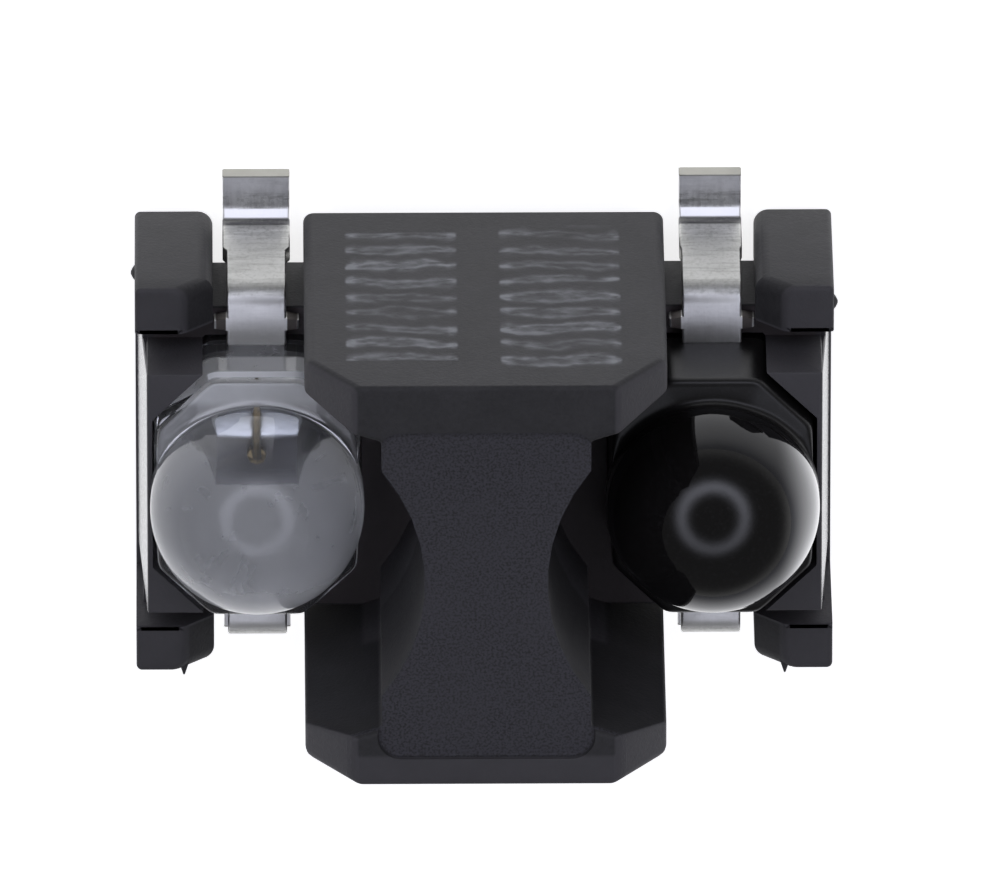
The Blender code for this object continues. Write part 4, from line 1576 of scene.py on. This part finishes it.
@dataclass
class Studio:
    """White floor, shown brightest round the part, and a cool ring of light overhead.

    Angles are in degrees. The ring's middle and spread are measured from its own axis.
    """

    floor_half: float = 700.0
    floor_drop: float = 0.002
    floor_colour: tuple = (0.80, 0.80, 0.80)
    floor_white: float = 0.78
    floor_glow: float = 1.0
    floor_reach: float = 13.2
    ring_middle: float = 34.0
    ring_spread: float = 7.5
    ring_lean: float = 12.0
    ring_light: float = 1.75
    ring_level: float = 0.9
    ring_tilt: float = 0.6
    ring_tint: tuple = (0.95, 0.97, 1.13)
    horizon_light: float = 0.40
    horizon_depth: float = 9.0
    dim: float = 0.14

    def floor(self) -> None:
        """The plain pale floor, which shows white and keeps a soft shadow.

        Gloss and clear plastic see it brightest near the part, and dimmer with the square
        of the distance.
        """
        corners = np.array([(-1.0, -1.0), (1.0, -1.0), (1.0, 1.0), (-1.0, 1.0)])
        points = lifted(corners * self.floor_half, -self.floor_drop)
        plane = new_object("floor", points, [[0, 1, 2, 3]])
        material, recipe = material_recipe("white_floor")
        camera = recipe.node("ShaderNodeLightPath", output="Is Camera Ray")
        mirrored = (camera.other("Is Glossy Ray") + camera.other("Is Transmission Ray")).capped()
        reach = recipe.node("ShaderNodeVectorMath", {"operation": "LENGTH"}, {0: recipe.place()},
                            output="Value") / self.floor_reach
        pool = (1.0 + reach * reach) ** -1.0 * self.floor_glow
        seen = camera * self.floor_white + (1.0 - camera) * mirrored * pool
        glow = recipe.blend(seen, (0.0, 0.0, 0.0), (1.0, 1.0, 1.0))
        recipe.finish(recipe.principled({
            "Base Color": (*self.floor_colour, 1.0), "Roughness": 1.0, "Specular IOR Level": 0.0,
            "Emission Color": glow, "Emission Strength": 1.0}))
        plane.data.materials.append(material)

    def surroundings(self) -> None:
        """The world: a soft ring of light, a pale band at the horizon and a dim room.

        The ring is a bell over the angle from its own axis, stronger on its +Y side. The band
        falls off with height above the horizon as a bell too.
        """
        world = bpy.data.worlds.new("studio")
        world.use_nodes = True
        bpy.context.scene.world = world
        recipe = Recipe(world.node_tree)
        way = recipe.node("ShaderNodeTexCoord", output="Generated")
        lean = math.radians(self.ring_lean)
        axis = (0.0, math.sin(lean), math.cos(lean))
        dot = recipe.node("ShaderNodeVectorMath", {"operation": "DOT_PRODUCT"},
                          {0: way, 1: axis}, output="Value")
        off = (dot.math("ARCCOSINE") * (180.0 / math.pi) - self.ring_middle) / self.ring_spread
        _, y, z = recipe.axes(way)
        ring = off.bell() * (self.ring_level + y * self.ring_tilt) * self.ring_light
        height = z.math("ARCSINE") * (180.0 / math.pi) / self.horizon_depth
        band = height.bell() * self.horizon_light
        camera = recipe.node("ShaderNodeLightPath", output="Is Camera Ray")
        cool = recipe.node("ShaderNodeVectorMath", {"operation": "SCALE"},
                           {0: self.ring_tint, "Scale": ring})
        level = band + self.dim
        plain = recipe.node("ShaderNodeCombineXYZ", inputs={0: level, 1: level, 2: level})
        light = recipe.node("ShaderNodeVectorMath", {"operation": "ADD"}, {0: cool, 1: plain})
        shown = recipe.node("ShaderNodeMix", {"data_type": "RGBA"},
                            {0: camera, 6: light, 7: (1.0, 1.0, 1.0, 1.0)}, output=2)
        back = recipe.node("ShaderNodeBackground", inputs={"Color": shown, "Strength": 1.0})
        recipe.node("ShaderNodeOutputWorld", inputs={"Surface": back})

    def build(self) -> None:
        """Set up floor and world."""
        self.floor()
        self.surroundings()
        bpy.context.scene.view_settings.view_transform = "Standard"


@dataclass
class Viewpoint:
    """The camera: the photo's angle, from the marked side and 26 degrees off the lenses."""

    pixels_per_mm: float = 116.37
    elevation: float = 63.8
    lean: float = -0.5
    aim: tuple = (0.1483, -0.4563, 0.0)
    distance: float = 300.0
    middle_depth: float = 1.9
    sensor: float = 36.0

    def build(self) -> None:
        """Place the camera so that one millimetre is as wide as in the photo.

        The scale holds at the middle depth of the part, above the point aimed at.
        """
        rise = math.radians(self.elevation)
        back = Vector((0.0, math.cos(rise), math.sin(rise)))
        up = Vector((0.0, math.sin(rise), -math.cos(rise)))
        turn = Matrix.Rotation(math.radians(self.lean), 3, "Y")
        camera = bpy.data.cameras.new("photo_view")
        camera.sensor_width = self.sensor
        camera.lens = self.sensor * self.distance * self.pixels_per_mm / IMAGE_WIDTH
        camera.clip_start = 0.01
        camera.clip_end = 10.0
        obj = bpy.data.objects.new("photo_view", camera)
        bpy.context.scene.collection.objects.link(obj)
        right = up.cross(back)
        axes = turn @ Matrix((right, up, back)).transposed()
        away = self.distance + self.middle_depth
        place = Vector(self.aim) + axes @ Vector((0.0, 0.0, away))
        obj.matrix_world = Matrix.Translation(place * MM) @ axes.to_4x4()
        bpy.context.scene.camera = obj


def dress_inner_nodes() -> None:
    """Give the chips, die-attach layers and bond wires their finishes."""
    looks = {
        "emitter_chip": EmitterChip(),
        "detector_chip": SemiconductorFinish("silicon_chip", (0.05, 0.06, 0.10),
                                             (0.09, 0.10, 0.15), 0.3, 0.2),
        "die_attach": SemiconductorFinish("silver_die_attach", (0.55, 0.55, 0.53),
                                          (0.35, 0.35, 0.34), 1.0, 0.5),
        "bond_wire": SemiconductorFinish("gold_wire", (0.26, 0.20, 0.10),
                                         (0.18, 0.13, 0.06), 1.0, 0.35)}
    made = {ending: finish.make() for ending, finish in looks.items()}
    for name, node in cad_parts.items():
        for ending, material in made.items():
            if name.endswith(ending):
                node.data.materials.clear()
                node.data.materials.append(material)
                LOG.info("node %s: dressed in %s", name, material.name)


def middle_x(node: str) -> float:
    """X of a CAD node's middle, in millimetres."""
    low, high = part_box(node)
    return (low.x + high.x) / (2 * MM)


def inner_end(node: str, end: int) -> float:
    """Distance of a lead's inner end from the middle, in millimetres, outwards positive."""
    low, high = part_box(node)
    return min(end * low.y, end * high.y) / MM


def main() -> None:
    """Build every piece in order and report it."""
    logging.basicConfig(level=logging.INFO, format="%(message)s")
    emitter_x = middle_x("emitter_package")
    detector_x = middle_x("detector_package")
    adopt(Holder(detector_x).build(), "holder", MouldedBlack().make())
    clear = ClearEpoxy(emitter_x).make()
    adopt(LensPackage("emitter_lens_body", emitter_x).build(), "emitter_package",
          clear)
    adopt(LensPackage("detector_lens_body", detector_x).build(), "detector_package",
          FilterEpoxy(detector_x).make())
    tin = TinPlate(detector_x).make()
    for label, x in (("emitter", emitter_x), ("detector", detector_x)):
        for ending, end in (("cathode", 1), ("anode", -1)):
            node = f"{label}_{ending}_lead"
            strip = GullWingLead(f"{label}_{ending}_strip", x, end, inner_end(node, end),
                                 FOOT_WIDTHS[label])
            adopt(strip.build(), node, tin)
    dress_inner_nodes()
    Studio().build()
    Viewpoint().build()


if __name__ == "__main__":
    main()
